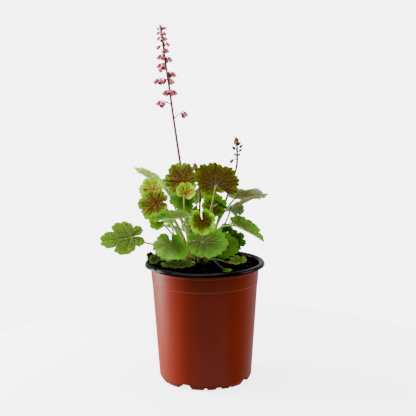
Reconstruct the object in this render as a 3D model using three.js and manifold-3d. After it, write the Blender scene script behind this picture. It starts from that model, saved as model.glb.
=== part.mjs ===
// A heuchera in flower, in a two-colour moulded nursery pot.
//
// Millimetres, +Z up. The origin is the middle of the pot's underside, on the surface it stands on,
// and -Y is the front. The pot, the potting soil, the woody crown, each leaf with its stalk and each
// flower spike are separate solids. Leaves and spikes grow out of the crown, which sits in the soil.
import * as THREE from "three";
import { mergeVertices } from "three/addons/utils/BufferGeometryUtils.js";
import Module from "manifold-3d";

const wasm = await Module();
wasm.setup();
const { Manifold } = wasm;

// ---------------------------------------------------------------- driving dimensions

const CLEARANCE = 0.3; // gap between pieces that touch

// Pot: thermoformed sheet with a rolled lip, two stepped bands, a foot ring and a middle pad.
const POT_HEIGHT = 165;
const RIM_RADIUS = 82.5;
const LIP_DROP = 4.6;
const LIP_CHAMFER = 2.4;
const LIP_LEDGE = 1.6; // depth of the groove under the lip
const WALL = 1.2;
const BAND_Z = [158.5, 137]; // lower edges of the two bands under the lip
const BODY_RADIUS = { lip: 75.4, base: 64 }; // outer wall under the lip, and above the chamfer
const BAND_STEP = 0.5;
const CHAMFER_HEIGHT = 6;
const FOOT_RADIUS = { outer: 60.5, inner: 51 };
const FOOT_FLARE = 3; // how far the foot ring and the pad widen towards the floor
const FLOOR_RISE = 4;
const PAD_RADIUS = 14;
const POT_SIDES = 40;

// Drain notches in the foot ring, repeated every quarter turn. Angles run from the front towards +X.
const NOTCH_TURNS = 4;
const NOTCHES = [
  { angle: -28, width: 21, height: 7 },
  { angle: 0, width: 4, height: 2.6 },
  { angle: 17, width: 9, height: 2.6 },
  { angle: 34, width: 4, height: 2.6 },
];

// Soil: its general level, and the heaps on it as [x, y, height, spread].
const SOIL_LEVEL = 157;
const SOIL_BOTTOM = FLOOR_RISE + WALL + 2 * CLEARANCE;
const SOIL_HEAPS = [
  [-66, 22, 11, 13],
  [-11, 4, 6, 24],
  [-62, -12, 4, 16],
];
const SOIL_RINGS = 6;
const SOIL_SIDES = 30;

// Crown: the woody stock that carries every leaf and spike, as a dome half sunk in the soil.
const CROWN_CENTRE = new THREE.Vector3(-11, 4, 159);
const CROWN_RADII = new THREE.Vector3(18, 14, 8.5);
const ROOT_GAP = 4.4; // least distance between the roots of two stalks
const ROOT_REACH = 0.93; // share of the crown's radius that the roots keep within
const ROOT_DEPTH = 0.8; // share of the crown's radii at which a stalk's line starts

// Leaves
const BLADE_THICKNESS = 0.9;
const SCALLOP_DEPTH = 0.05;
const CORNER_CUT = 0.22; // how far the margin rounds in beside the gap at the stalk
const CREASE_WIDTH = 0.08; // half width of the rounded crease along the midrib, as a share of size
const INNER_RING = 0.55; // share of the way to the margin
const LEAF_FORM = { cup: 0, fold: 0, droop: 0, ruffle: 0, bow: [0, 0, 0] };
const LEAF_OUTLINE = { lobes: 7, scallops: 3, sinus: 9, taper: 0.16, deep: 0.12 };
const STALK_RADIUS = { root: 1.25, blade: 1.3 };
const STALK_PULL = { root: 0.4, blade: 0.3 }; // shares of the span that its two ends run straight
const STALK_END = 0.6; // how far into the blade the stalk runs, as a share of its thickness
const STALK_SIDES = 4;
const STALK_STEPS = 5;

// ---------------------------------------------------------------- the plant's pieces, by hand

// Each leaf: `at` is where the stalk meets the blade, `size` the distance from there to the tip,
// `faces` the azimuth and elevation of the upper face, `tip` the clock angle of the tip seen from
// above that face, with 0 uphill. Where a leaf differs from LEAF_FORM: `cup` lifts the margin,
// `fold` is the slope of the two halves up from the midrib, `droop` bends the tip down, `ruffle`
// waves the lobes and `bow` pushes the stalk aside. Where it differs from LEAF_OUTLINE: `lobes` is
// the number of lobes, `scallops` the number along each, `sinus` half the gap at the stalk in
// degrees, `taper` how much shorter the lobes beside it are and `deep` how far the lobes are cut.
const LEAVES = [
  { name: "leaf_top_right", at: [16, -16, 273], size: 36, faces: [-72, 42], tip: 10,
    fold: 0.2, ruffle: 0.03, sinus: 43, taper: 0.12, deep: 0.07 },
  { name: "leaf_top_middle", at: [-27.5, -8, 274], size: 30.5, faces: [-97, 16], tip: -34,
    ruffle: 0.05, taper: 0.27 },
  { name: "leaf_left_bronze", at: [-63, -26, 251], size: 27.5, faces: [-105, 44], tip: -97,
    ruffle: 0.04, sinus: 4, taper: 0.2, bow: [0, 5, 0] },
  { name: "leaf_left_young", at: [-70, -6, 263], size: 21, faces: [-105, 30], tip: -35,
    cup: 0.12, bow: [4, -8, 8] },
  { name: "leaf_middle_young", at: [-25.5, -24, 262], size: 16.5, faces: [-90, 36], tip: 20,
    cup: 0.2, fold: 0.15, sinus: 34, taper: 0.2, bow: [-2, -6, 0] },
  { name: "leaf_far_left_tip", at: [-73, 18, 279], size: 27, faces: [42, 54], tip: 28,
    fold: 0.1 },
  { name: "leaf_left_high", at: [-43, 36, 246], size: 35, faces: [30, 32], tip: 14,
    fold: 0.2, taper: 0.3, bow: [5, 7, 9] },
  { name: "leaf_right_inner", at: [12, 8.5, 236], size: 22.5, faces: [-90, 35], tip: 20,
    cup: 0.1, taper: 0.22, bow: [0, 4, 0] },
  { name: "leaf_right_high", at: [47, 10, 255.5], size: 41, faces: [90, 66], tip: -90,
    droop: 0.06, ruffle: 0.05, taper: 0.3, bow: [-6, -4, 2] },
  { name: "leaf_right_folded", at: [35, 1, 236.5], size: 40, faces: [149, 61], tip: -34,
    fold: 0.12, sinus: 40, taper: 0.45 },
  { name: "leaf_right_thin", at: [19.5, -1, 245], size: 13.5, faces: [31, 50], tip: -120, scallops: 2 },
  { name: "leaf_right_pale", at: [46, 30, 229.5], size: 12, faces: [-90, 25], tip: 0,
    scallops: 2, bow: [0, 6, 0] },
  { name: "leaf_right_long", at: [44, -26, 218.5], size: 42, faces: [-13, 61], tip: 169,
    fold: 0.3, droop: 0.05, sinus: 14, taper: 0.33, bow: [-12, -4, 14] },
  { name: "leaf_right_shaded", at: [39, 22, 189.5], size: 20, faces: [-85, 35], tip: 110,
    deep: 0.22 },
  { name: "leaf_right_shaded_high", at: [31, 26, 202], size: 12, faces: [-85, 30], tip: -20,
    scallops: 2, bow: [-8, 0, 0] },
  { name: "leaf_front_right", at: [-3.5, -48, 202], size: 36, faces: [-90, 58], tip: 97,
    cup: -0.06, ruffle: 0.04, sinus: 2.5, taper: 0.2, deep: 0.08 },
  { name: "leaf_front_middle", at: [-3, -58, 231], size: 19.5, faces: [-88, 22], tip: 172,
    cup: 0.1, ruffle: 0.06, sinus: 4, taper: 0.05, bow: [-8, 4, 0] },
  { name: "leaf_front_left", at: [-44, -50, 198], size: 25.5, faces: [-68, 50], tip: -170,
    fold: -0.35, ruffle: 0.05, sinus: 6, taper: 0.03, deep: 0.09 },
  { name: "leaf_far_left", at: [-100, -10, 201], size: 43, faces: [-95, 57], tip: -102,
    lobes: 5, scallops: 4, deep: 0.3, sinus: 5, taper: 0.27 },
  { name: "leaf_middle_edge", at: [-31.5, -44, 233.5], size: 36, faces: [-160, 84], tip: -160,
    fold: 0.25, taper: 0.3, bow: [-4, 4, 0] },
  { name: "leaf_left_under", at: [-65, -8, 237], size: 20, faces: [-100, 35], tip: -120,
    scallops: 2 },
  { name: "leaf_left_lowest", at: [-63, -14, 221.5], size: 12.5, faces: [-95, 35], tip: -130,
    scallops: 2 },
  { name: "leaf_inner_left", at: [-36, 0, 251], size: 13, faces: [-95, 30], tip: -115,
    scallops: 2, bow: [-4, 12, -8] },
  { name: "leaf_inner_middle", at: [-14, 32, 256], size: 20, faces: [-90, 30], tip: -150,
    scallops: 2 },
  { name: "leaf_inner_right", at: [14, 30, 257], size: 21, faces: [-85, 32], tip: -60,
    scallops: 2, bow: [6, 0, 0] },
  { name: "leaf_inner_centre", at: [-16.5, 20.5, 233.5], size: 11, faces: [-90, 30], tip: -160,
    scallops: 2, bow: [-3, -7, 3] },
  { name: "leaf_inner_low", at: [-27, -8, 249], size: 16, faces: [-90, 25], tip: 180,
    scallops: 2 },
  { name: "leaf_back_pale", at: [-46, 22, 221], size: 13, faces: [-90, 40], tip: -78,
    scallops: 2, bow: [-12, -12, 15] },
  { name: "leaf_left_hidden", at: [-38, 30.5, 205], size: 20, faces: [51, 63], tip: 48,
    taper: 0.3, scallops: 2 },
  { name: "leaf_low_right", at: [21, -22, 193], size: 27, faces: [-80, 48], tip: 128,
    ruffle: 0.05 },
  { name: "leaf_inner_dark", at: [-23, 52, 205], size: 15, faces: [-90, 40], tip: 120,
    scallops: 2 },
  { name: "leaf_soil_right", at: [42, -18, 168], size: 16, faces: [-100, 76], tip: 95,
    cup: 0.2, ruffle: 0.1, scallops: 2 },
  { name: "leaf_soil_left", at: [-66.8, -15, 171.8], size: 10.5, faces: [-110, 45], tip: -100,
    scallops: 2 },
  { name: "leaf_soil_front", at: [-47, -16, 177.5], size: 15, faces: [-95, 60], tip: -130,
    scallops: 2 },
  { name: "leaf_rim_front", at: [-35, -38, 167.6], size: 28, faces: [90, 89], tip: 160,
    cup: 0.04 },
  { name: "leaf_rim_right", at: [28, -58, 165], size: 8, faces: [-90, 86], tip: 80,
    bow: [-3, -8, 22], scallops: 2 },
  { name: "leaf_back_high", at: [15, 46, 266], size: 25, faces: [95, 30], tip: 10,
    fold: 0.1, ruffle: 0.05, scallops: 2, bow: [-4, 0, 0] },
  { name: "leaf_back_left", at: [-46, 60, 178], size: 23, faces: [130, 55], tip: 150,
    ruffle: 0.05, taper: 0.1, scallops: 2 },
  { name: "leaf_back_right", at: [26, 56, 184], size: 20, faces: [60, 52], tip: -20,
    cup: -0.06, ruffle: 0.04, scallops: 2 },
  { name: "leaf_back_middle", at: [-6, 64, 192], size: 19, faces: [70, 50], tip: 160,
    cup: -0.1, scallops: 2 },
];

// Flower spikes
const BELL_LENGTH = 8.5;
const BELL_RADIUS = 3.1;
const BELL_LEAN = 0.9; // how far a bell leans out for each unit that it hangs down
const BELL_SINK = 0.4; // how far a bell's base is set into its branch
const BUD_SINK = 0.8;
const BELL_SPACING = 3.6; // between two bells along a branch
const BELL_YOUNGEST = 0.55; // size of a bell at the spike's tip, as a share of a grown one
const BELL_GROWN_BELOW = 40; // how far below the tip bells are grown
const TWIG_RADIUS = 0.7;
const BELL_SIDES = 5;
const BUD_SIDES = 4;
const TWIG_SIDES = 3;
const STEM_SIDES = 5;

// Each spike: the stem's path above the crown, its radius at the root and the tip, the branches
// that carry nodding bells or closed buds, and the buds packed round the tip. A branch has its height
// on the stem, its azimuth, reach and rise, its number of bells, and the size of its bud if it ends
// in one.
const SPIKES = [
  {
    name: "flower_spike_tall",
    path: [
      [-23, 12, 235], [-33, 15, 301], [-40.7, 13, 358], [-46, 12, 400], [-51, 12, 435],
      [-54, 12, 461], [-57, 12, 484],
    ],
    radius: [2, 1.35],
    branches: [
      { z: 359, turn: -12, reach: 14, rise: 10.5, bells: 2 },
      { z: 378, turn: 172, reach: 15, rise: 6, bells: 2 },
      { z: 378, turn: 172, reach: 9, rise: 3.6, bells: 1 },
      { z: 396.5, turn: 195, reach: 4, rise: 1.5, bells: 1 },
      { z: 397, turn: -10, reach: 4, rise: 1.5, bells: 1 },
      { z: 397.5, turn: -90, reach: 2.5, rise: 1.5, bells: 3 },
      { z: 411.5, turn: 183, reach: 12.5, rise: 2, bells: 2 },
      { z: 412, turn: 205, reach: 2.5, rise: 1, bells: 1 },
      { z: 412.5, turn: -35, reach: 4, rise: 1, bells: 2 },
      { z: 421, turn: -5, reach: 5.5, rise: 1.6, bells: 2 },
      { z: 433, turn: 180, reach: 6, rise: 1, bells: 3 },
      { z: 430, turn: 215, reach: 4, rise: -1, bells: 1 },
      { z: 441.5, turn: -10, reach: 4, rise: 1.2, bells: 2 },
      { z: 445, turn: 176, reach: 4.4, rise: 0.7, bells: 2 },
      { z: 453.5, turn: -20, reach: 2.4, rise: 0.7, bells: 3 },
      { z: 456.5, turn: 184, reach: 3.7, rise: 1, bells: 1 },
      { z: 461, turn: 0, reach: 4.2, rise: 1, bells: 2 },
      { z: 467.5, turn: 190, reach: 3, rise: 1.5, bells: 3 },
      { z: 468, turn: -25, reach: 3, rise: 1, bells: 2 },
      { z: 474, turn: 0, reach: 2.8, rise: 1.5, bells: 2 },
      { z: 475, turn: 190, reach: 2, rise: 1, bells: 2 },
      { z: 477, turn: -10, reach: 4, rise: 2, bud: 1.9 },
      { z: 477, turn: 185, reach: 3.2, rise: 1.5, bud: 1.7 },
    ],
    buds: { from: 479, to: 482, count: 5, size: 1.9 },
  },
  {
    name: "flower_spike_right",
    path: [[8, 15, 188], [20, 23, 218], [32, 27, 251], [44, 27, 288], [45.6, 26, 309], [44.4, 26, 330]],
    radius: [1.9, 1.3],
    branches: [
      { z: 301.5, turn: 184, reach: 5, rise: 0.4, bells: 1 },
      { z: 306.5, turn: 190, reach: 1.8, rise: 0.8, bud: 1.7 },
      { z: 306.5, turn: -20, reach: 1.8, rise: 0.8, bud: 1.7 },
      { z: 306, turn: -95, reach: 1.4, rise: 0.8, bud: 1.7 },
      { z: 314, turn: 188, reach: 3, rise: 2, bud: 2.3 },
      { z: 311.5, turn: -20, reach: 3.2, rise: 1.5, bud: 2 },
      { z: 316, turn: 10, reach: 4, rise: 2, bud: 2.2 },
    ],
    buds: { from: 321.2, to: 328, count: 13, size: 2.5 },
  },
  {
    name: "flower_spike_middle",
    path: [[-6, 3, 201], [-6.5, 5, 232], [-6, 5, 260], [-9.5, 3, 281], [-13.4, 2, 298]],
    radius: [1.7, 1.3],
    branches: [],
    buds: { from: 288.5, to: 296, count: 12, size: 2.6 },
  },
];

// ---------------------------------------------------------------- solids

const GOLDEN_TURN = Math.PI * (3 - Math.sqrt(5));
const { degToRad } = THREE.MathUtils;

/** A closed geometry as a solid. */
function solidOf(geometry) {
  const bare = geometry.clone();
  bare.deleteAttribute("normal");
  bare.deleteAttribute("uv");
  const merged = mergeVertices(bare, 1e-4);
  const mesh = new wasm.Mesh({
    numProp: 3,
    vertProperties: new Float32Array(merged.attributes.position.array),
    triVerts: new Uint32Array(merged.index.array),
  });
  return new Manifold(mesh);
}

/** A solid as a geometry, with flat shading. */
function geometryOf(solid) {
  const mesh = solid.getMesh();
  const geometry = new THREE.BufferGeometry();
  geometry.setAttribute("position", new THREE.BufferAttribute(mesh.vertProperties, 3));
  geometry.setIndex(new THREE.BufferAttribute(mesh.triVerts, 1));
  geometry.computeVertexNormals();
  return geometry;
}

/** Points and triangles as a geometry. */
function facetsOf(points, triangles) {
  const geometry = new THREE.BufferGeometry().setFromPoints(points);
  geometry.setIndex(triangles.flat());
  return geometry;
}

/** A body of revolution about Z from [radius, height] points, which run outwards, up and back. */
function turned(profile, sides) {
  const lathe = new THREE.LatheGeometry(profile.map(([r, z]) => new THREE.Vector2(r, z)), sides);
  return solidOf(lathe.rotateX(Math.PI / 2));
}

/** A round tube along a curve, tapering from one radius to another, with closed ends. */
function tube(curve, radii, sides, steps) {
  const frames = curve.computeFrenetFrames(steps, false);
  const points = [];
  const triangles = [];
  for (let i = 0; i <= steps; i++) {
    const centre = curve.getPointAt(i / steps);
    const radius = THREE.MathUtils.lerp(radii[0], radii[1], i / steps);
    for (let j = 0; j < sides; j++) {
      const turn = (2 * Math.PI * j) / sides;
      const point = centre.clone();
      point.addScaledVector(frames.normals[i], radius * Math.cos(turn));
      point.addScaledVector(frames.binormals[i], radius * Math.sin(turn));
      points.push(point);
    }
  }
  for (let i = 0; i < steps; i++) {
    for (let j = 0; j < sides; j++) {
      const a = i * sides + j;
      const b = i * sides + ((j + 1) % sides);
      triangles.push([a, b, b + sides], [a, b + sides, a + sides]);
    }
  }
  const last = steps * sides;
  for (let j = 1; j < sides - 1; j++) triangles.push([0, j + 1, j], [last, last + j, last + j + 1]);
  return solidOf(facetsOf(points, triangles));
}

// ---------------------------------------------------------------- pot

/** The pot's half section as two runs of [radius, height], and the radius of its wall by height. */
function potProfile() {
  const lipUnder = POT_HEIGHT - LIP_DROP;
  const upper = BODY_RADIUS.lip - 2 * BAND_STEP;
  const bodyAt = (z) =>
    THREE.MathUtils.mapLinear(z, CHAMFER_HEIGHT, POT_HEIGHT, BODY_RADIUS.base, upper);
  const outside = [
    [0, 0],
    [PAD_RADIUS, 0],
    [PAD_RADIUS + FOOT_FLARE, FLOOR_RISE],
    [FOOT_RADIUS.inner - FOOT_FLARE, FLOOR_RISE],
    [FOOT_RADIUS.inner, 0],
    [FOOT_RADIUS.outer, 0],
    [bodyAt(CHAMFER_HEIGHT), CHAMFER_HEIGHT],
    [bodyAt(BAND_Z[1]), BAND_Z[1]],
    [bodyAt(BAND_Z[1]) + BAND_STEP, BAND_Z[1] + BAND_STEP],
    [bodyAt(BAND_Z[0]) + BAND_STEP, BAND_Z[0]],
    [bodyAt(BAND_Z[0]) + 2 * BAND_STEP, BAND_Z[0] + BAND_STEP],
    [BODY_RADIUS.lip, lipUnder + LIP_LEDGE],
    [RIM_RADIUS - WALL, lipUnder + LIP_LEDGE],
    [RIM_RADIUS - WALL, lipUnder],
    [RIM_RADIUS, lipUnder],
  ];
  const inside = [
    [RIM_RADIUS, POT_HEIGHT - LIP_CHAMFER],
    [RIM_RADIUS - LIP_CHAMFER, POT_HEIGHT],
    [BODY_RADIUS.lip + 0.8, POT_HEIGHT - 0.4],
    [BODY_RADIUS.lip - WALL, POT_HEIGHT - 2],
    [bodyAt(CHAMFER_HEIGHT) - WALL, CHAMFER_HEIGHT + WALL],
    [FOOT_RADIUS.outer - WALL, WALL],
    [FOOT_RADIUS.inner + WALL, WALL],
    [FOOT_RADIUS.inner - FOOT_FLARE + WALL, FLOOR_RISE + WALL],
    [PAD_RADIUS + FOOT_FLARE - WALL, FLOOR_RISE + WALL],
    [PAD_RADIUS - WALL, WALL],
    [0, WALL],
  ];
  return { outside, inside, bodyAt };
}

/** The pot, with its drain notches cut through the foot ring and the chamfer. */
function makePot() {
  const { outside, inside } = potProfile();
  const shell = turned([...outside, ...inside], POT_SIDES);
  const cutters = [];
  for (const notch of NOTCHES) {
    const half = notch.width / 2;
    const arch = new THREE.Shape([
      new THREE.Vector2(-half, -1),
      new THREE.Vector2(half, -1),
      new THREE.Vector2(half * 0.75, notch.height),
      new THREE.Vector2(-half * 0.75, notch.height),
    ]);
    for (let turn = 0; turn < NOTCH_TURNS; turn++) {
      const cutter = new THREE.ExtrudeGeometry(arch, { depth: 16, bevelEnabled: false });
      cutter.rotateX(Math.PI / 2).translate(0, -(FOOT_RADIUS.inner + 2), 0);
      cutter.rotateZ(degToRad(notch.angle + (360 / NOTCH_TURNS) * turn));
      cutters.push(solidOf(cutter));
    }
  }
  return shell.subtract(Manifold.union(cutters));
}

// ---------------------------------------------------------------- soil

/** Height of the soil: its level, its heaps and a crumbly unevenness from a few crossed waves. */
function soilHeight(x, y) {
  const crumbs =
    0.8 * Math.sin(0.31 * x + 1.3) * Math.cos(0.27 * y) +
    0.6 * Math.sin(0.53 * x - 0.47 * y) +
    0.4 * Math.cos(0.83 * y + 0.29 * x);
  let heaps = 0;
  for (const [hx, hy, height, spread] of SOIL_HEAPS) {
    heaps += height * Math.exp(-((x - hx) ** 2 + (y - hy) ** 2) / spread ** 2);
  }
  return SOIL_LEVEL + crumbs + heaps;
}

/** The soil fills the pot from its floor to an uneven top, clear of the wall. */
function makeSoil() {
  const { bodyAt } = potProfile();
  const top = bodyAt(SOIL_LEVEL) - WALL - 2 * CLEARANCE;
  const bottom = bodyAt(CHAMFER_HEIGHT) - 2 * WALL - 2 * CLEARANCE;
  const points = [new THREE.Vector3(0, 0, soilHeight(0, 0))];
  const triangles = [];
  for (let ring = 1; ring <= SOIL_RINGS; ring++) {
    for (let side = 0; side < SOIL_SIDES; side++) {
      const turn = (2 * Math.PI * side) / SOIL_SIDES;
      const x = ((top * ring) / SOIL_RINGS) * Math.cos(turn);
      const y = ((top * ring) / SOIL_RINGS) * Math.sin(turn);
      points.push(new THREE.Vector3(x, y, soilHeight(x, y)));
    }
  }
  for (let side = 0; side < SOIL_SIDES; side++) {
    const turn = (2 * Math.PI * side) / SOIL_SIDES;
    points.push(new THREE.Vector3(bottom * Math.cos(turn), bottom * Math.sin(turn), SOIL_BOTTOM));
  }
  points.push(new THREE.Vector3(0, 0, SOIL_BOTTOM));
  for (let side = 0; side < SOIL_SIDES; side++) {
    const next = (side + 1) % SOIL_SIDES;
    triangles.push([0, 1 + side, 1 + next]);
    for (let ring = 0; ring < SOIL_RINGS; ring++) {
      const a = 1 + ring * SOIL_SIDES + side;
      const b = 1 + ring * SOIL_SIDES + next;
      triangles.push([a, a + SOIL_SIDES, b + SOIL_SIDES], [a, b + SOIL_SIDES, b]);
    }
    const foot = 1 + SOIL_RINGS * SOIL_SIDES;
    triangles.push([foot + side, points.length - 1, foot + next]);
  }
  return solidOf(facetsOf(points, triangles)).subtract(crownDome(CLEARANCE));
}

// ---------------------------------------------------------------- crown

/** The crown's dome, grown by a margin all round. */
function crownDome(margin) {
  const dome = new THREE.SphereGeometry(1, 12, 7);
  dome.rotateX(Math.PI / 2);
  dome.scale(CROWN_RADII.x + margin, CROWN_RADII.y + margin, CROWN_RADII.z + margin);
  dome.translate(CROWN_CENTRE.x, CROWN_CENTRE.y, CROWN_CENTRE.z);
  return solidOf(dome);
}

/** Spreads the stalks' roots over the crown: each starts under its blade, and pairs push apart. */
function spreadRoots(targets) {
  const roots = targets.map((target) => {
    const away = new THREE.Vector3().subVectors(target, CROWN_CENTRE);
    const flat = Math.hypot(away.x, away.y);
    const share = 0.25 + 0.7 * Math.min(1, flat / away.z);
    return new THREE.Vector2(away.x, away.y).multiplyScalar(share / Math.max(flat, 1e-6));
  });
  const scale = Math.min(CROWN_RADII.x, CROWN_RADII.y);
  for (let pass = 0; pass < 200; pass++) {
    for (let i = 0; i < roots.length; i++) {
      for (let j = i + 1; j < roots.length; j++) {
        const apart = new THREE.Vector2().subVectors(roots[j], roots[i]);
        const gap = apart.length() * scale;
        if (gap >= ROOT_GAP) continue;
        apart.setLength((ROOT_GAP - gap) / scale / 2);
        roots[i].sub(apart);
        roots[j].add(apart);
      }
    }
    roots.forEach((root) => root.clampLength(0, ROOT_REACH));
  }
  return roots.map((root) => {
    const up = Math.sqrt(1 - root.lengthSq());
    return new THREE.Vector3(root.x, root.y, up);
  });
}

/** Where a stalk starts, a little inside the dome's surface; the crown is then cut from it. */
function rootPoint(root) {
  return root.clone().multiply(CROWN_RADII).multiplyScalar(ROOT_DEPTH).add(CROWN_CENTRE);
}

// ---------------------------------------------------------------- leaves

/** Distance from the stalk to the margin, as a share of the leaf's size, at a place along the margin
 * that runs from -1 to 1: a rounded outline, notched into lobes, with scallops along each lobe. */
function marginAt({ lobes, scallops, sinus, taper, deep }, place) {
  const lobe = 1 - 2 * Math.abs((((place + 1) * lobes) / 2) % 1 - 0.5);
  const scallop = 1 - 2 * Math.abs((((place + 1) * lobes * scallops) / 2) % 1 - 0.5);
  const corner = Math.max(0, (Math.abs(place) - 1) * lobes + 1);
  const outline = 1 - taper + taper * Math.cos(place * (Math.PI - degToRad(sinus)));
  const cuts = (1 - deep * (1 - lobe) ** 3) * (1 - SCALLOP_DEPTH * (1 - scallop) ** 2);
  return outline * cuts * (1 - CORNER_CUT * corner ** 2);
}

/** Height of the blade over its flat plane, for a point (u along the midrib, v across it). */
function bladeHeight({ size, lobes, cup, fold, droop, ruffle }, u, v, place) {
  const reach = Math.hypot(u, v) / size;
  const crease = Math.hypot(v, CREASE_WIDTH * size) - CREASE_WIDTH * size;
  const wave = ruffle * size * reach ** 2 * Math.cos(Math.PI * lobes * place);
  return cup * size * reach ** 2 + fold * crease - (droop * u * Math.abs(u)) / size + wave;
}

/** The leaf's axes: along the midrib, across it, and out of the upper face. */
function leafAxes({ faces, tip }) {
  const [azimuth, elevation] = faces.map(degToRad);
  const clock = degToRad(tip);
  const face = new THREE.Vector3(
    Math.cos(elevation) * Math.cos(azimuth),
    Math.cos(elevation) * Math.sin(azimuth),
    Math.sin(elevation),
  );
  const uphill = new THREE.Vector3(
    -Math.sin(elevation) * Math.cos(azimuth),
    -Math.sin(elevation) * Math.sin(azimuth),
    Math.cos(elevation),
  );
  const right = new THREE.Vector3().crossVectors(uphill, face);
  const along = new THREE.Vector3();
  along.addScaledVector(uphill, Math.cos(clock)).addScaledVector(right, Math.sin(clock));
  const across = new THREE.Vector3().crossVectors(face, along);
  return { along, across, face };
}

/** The blade: a fan of lobes round the stalk, closed below by the same triangles set lower. */
function makeBlade(leaf) {
  const { along, across, face } = leafAxes(leaf);
  const at = new THREE.Vector3(...leaf.at);
  const point = (share, place) => {
    const radius = share * leaf.size * marginAt(leaf, place);
    const angle = place * (Math.PI - degToRad(leaf.sinus));
    const u = radius * Math.cos(angle);
    const v = radius * Math.sin(angle);
    const w = bladeHeight(leaf, u, v, place);
    return at.clone().addScaledVector(along, u).addScaledVector(across, v).addScaledVector(face, w);
  };
  // An inner ring has a point on the axis of each lobe and one at each end. The margin has a point
  // at the top of each scallop and one between each two.
  const halfLobe = leaf.scallops;
  const margin = 2 * halfLobe * leaf.lobes;
  const ring = [0, ...Array.from({ length: leaf.lobes }, (_, k) => halfLobe * (2 * k + 1)), margin];
  const placeOf = (step) => (2 * step) / margin - 1;
  const top = [point(0, 0), ...ring.map((step) => point(INNER_RING, placeOf(step)))];
  const outer = top.length;
  for (let step = 0; step <= margin; step++) top.push(point(1, placeOf(step)));
  const upper = [];
  for (let k = 0; k + 1 < ring.length; k++) {
    const [a, b] = [1 + k, 2 + k];
    const middle = Math.ceil((ring[k] + ring[k + 1]) / 2);
    upper.push([0, a, b], [a, outer + middle, b]);
    for (let step = ring[k]; step < ring[k + 1]; step++) {
      upper.push([step < middle ? a : b, outer + step, outer + step + 1]);
    }
  }
  const rim = [0, 1, ...Array.from({ length: margin + 1 }, (_, step) => outer + step), outer - 1];
  const under = top.length;
  const bottom = top.map((corner) => corner.clone().addScaledVector(face, -BLADE_THICKNESS));
  const triangles = [...upper, ...upper.map(([a, b, c]) => [under + a, under + c, under + b])];
  rim.forEach((a, k) => {
    const b = rim[(k + 1) % rim.length];
    triangles.push([a, under + a, under + b], [a, under + b, b]);
  });
  return solidOf(facetsOf([...top, ...bottom], triangles));
}

/** The stalk's line: it leaves the crown square to it, bows, and runs into the blade from below. */
function stalkCurve(leaf, root) {
  const { along, face } = leafAxes(leaf);
  const start = rootPoint(root);
  const end = new THREE.Vector3(...leaf.at).addScaledVector(face, -BLADE_THICKNESS * STALK_END);
  const out = new THREE.Vector3(root.x, root.y, 1.4).normalize();
  const arrive = along.clone().multiplyScalar(0.6).addScaledVector(face, 0.8).normalize();
  const span = start.distanceTo(end);
  const bow = new THREE.Vector3(...leaf.bow);
  const first = start.clone().addScaledVector(out, span * STALK_PULL.root).add(bow);
  const second = end.clone().addScaledVector(arrive, -span * STALK_PULL.blade).add(bow);
  return new THREE.CubicBezierCurve3(start, first, second, end);
}

/** A leaf: its blade and its stalk in one, standing on the crown with a small gap. */
function makeLeaf(leaf, root) {
  const radii = [STALK_RADIUS.root, STALK_RADIUS.blade];
  const stalk = tube(stalkCurve(leaf, root), radii, STALK_SIDES, STALK_STEPS);
  return makeBlade(leaf).add(stalk).subtract(crownDome(CLEARANCE));
}

// ---------------------------------------------------------------- flower spikes

/** A body of revolution set at a point, with its axis along a direction. */
function hung(outline, sides, at, direction) {
  const shape = new THREE.LatheGeometry(outline.map(([r, y]) => new THREE.Vector2(r, y)), sides);
  const up = new THREE.Vector3(0, 1, 0);
  shape.applyQuaternion(new THREE.Quaternion().setFromUnitVectors(up, direction.clone().normalize()));
  return solidOf(shape.translate(at.x, at.y, at.z));
}

/** A faceted bell hung from a point along a direction, hollowed at its mouth. */
function bell(at, direction, length, mouth) {
  const outline = [[0, 0], [mouth * 0.6, length * 0.08], [mouth, length], [0, length * 0.8]];
  return hung(outline, BELL_SIDES, at, direction);
}

/** A bud on the stem: two cones set base to base, with the lower one's point sunk in the stem. */
function bud(at, direction, size) {
  return hung([[0, 0], [size, 1.7 * size], [0, 3.2 * size]], BUD_SIDES, at, direction);
}

/** A branch: with a bud, or with a bell at its end and the rest hung on alternate sides along it. */
function makeBranch(stemAt, tip, { z, turn, reach, rise, bells = 0, bud: size = 0 }) {
  const azimuth = degToRad(turn);
  const out = new THREE.Vector3(Math.cos(azimuth), Math.sin(azimuth), 0);
  const side = new THREE.Vector3(-out.y, out.x, 0);
  const from = stemAt(z);
  const run = out.clone().multiplyScalar(reach).setZ(rise);
  const twig = new THREE.LineCurve3(from, from.clone().add(run));
  const parts = [tube(twig, [TWIG_RADIUS, TWIG_RADIUS], TWIG_SIDES, 1)];
  if (size > 0) {
    const up = out.clone().setZ(1).normalize();
    parts.push(bud(from.clone().add(run).addScaledVector(up, -BUD_SINK), up, size));
  }
  const grown = THREE.MathUtils.lerp(BELL_YOUNGEST, 1, Math.min(1, (tip - z) / BELL_GROWN_BELOW));
  for (let k = 0; k < bells; k++) {
    const fork = from.clone().addScaledVector(run, Math.max(0, 1 - (BELL_SPACING * k) / run.length()));
    const lean = k === 0 ? out : side.clone().multiplyScalar(k % 2 ? 1 : -1).addScaledVector(out, 0.3);
    const down = new THREE.Vector3(0, 0, -1).addScaledVector(lean, BELL_LEAN).normalize();
    parts.push(bell(fork.addScaledVector(down, -BELL_SINK), down, BELL_LENGTH * grown, BELL_RADIUS * grown));
  }
  return parts;
}

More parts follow.
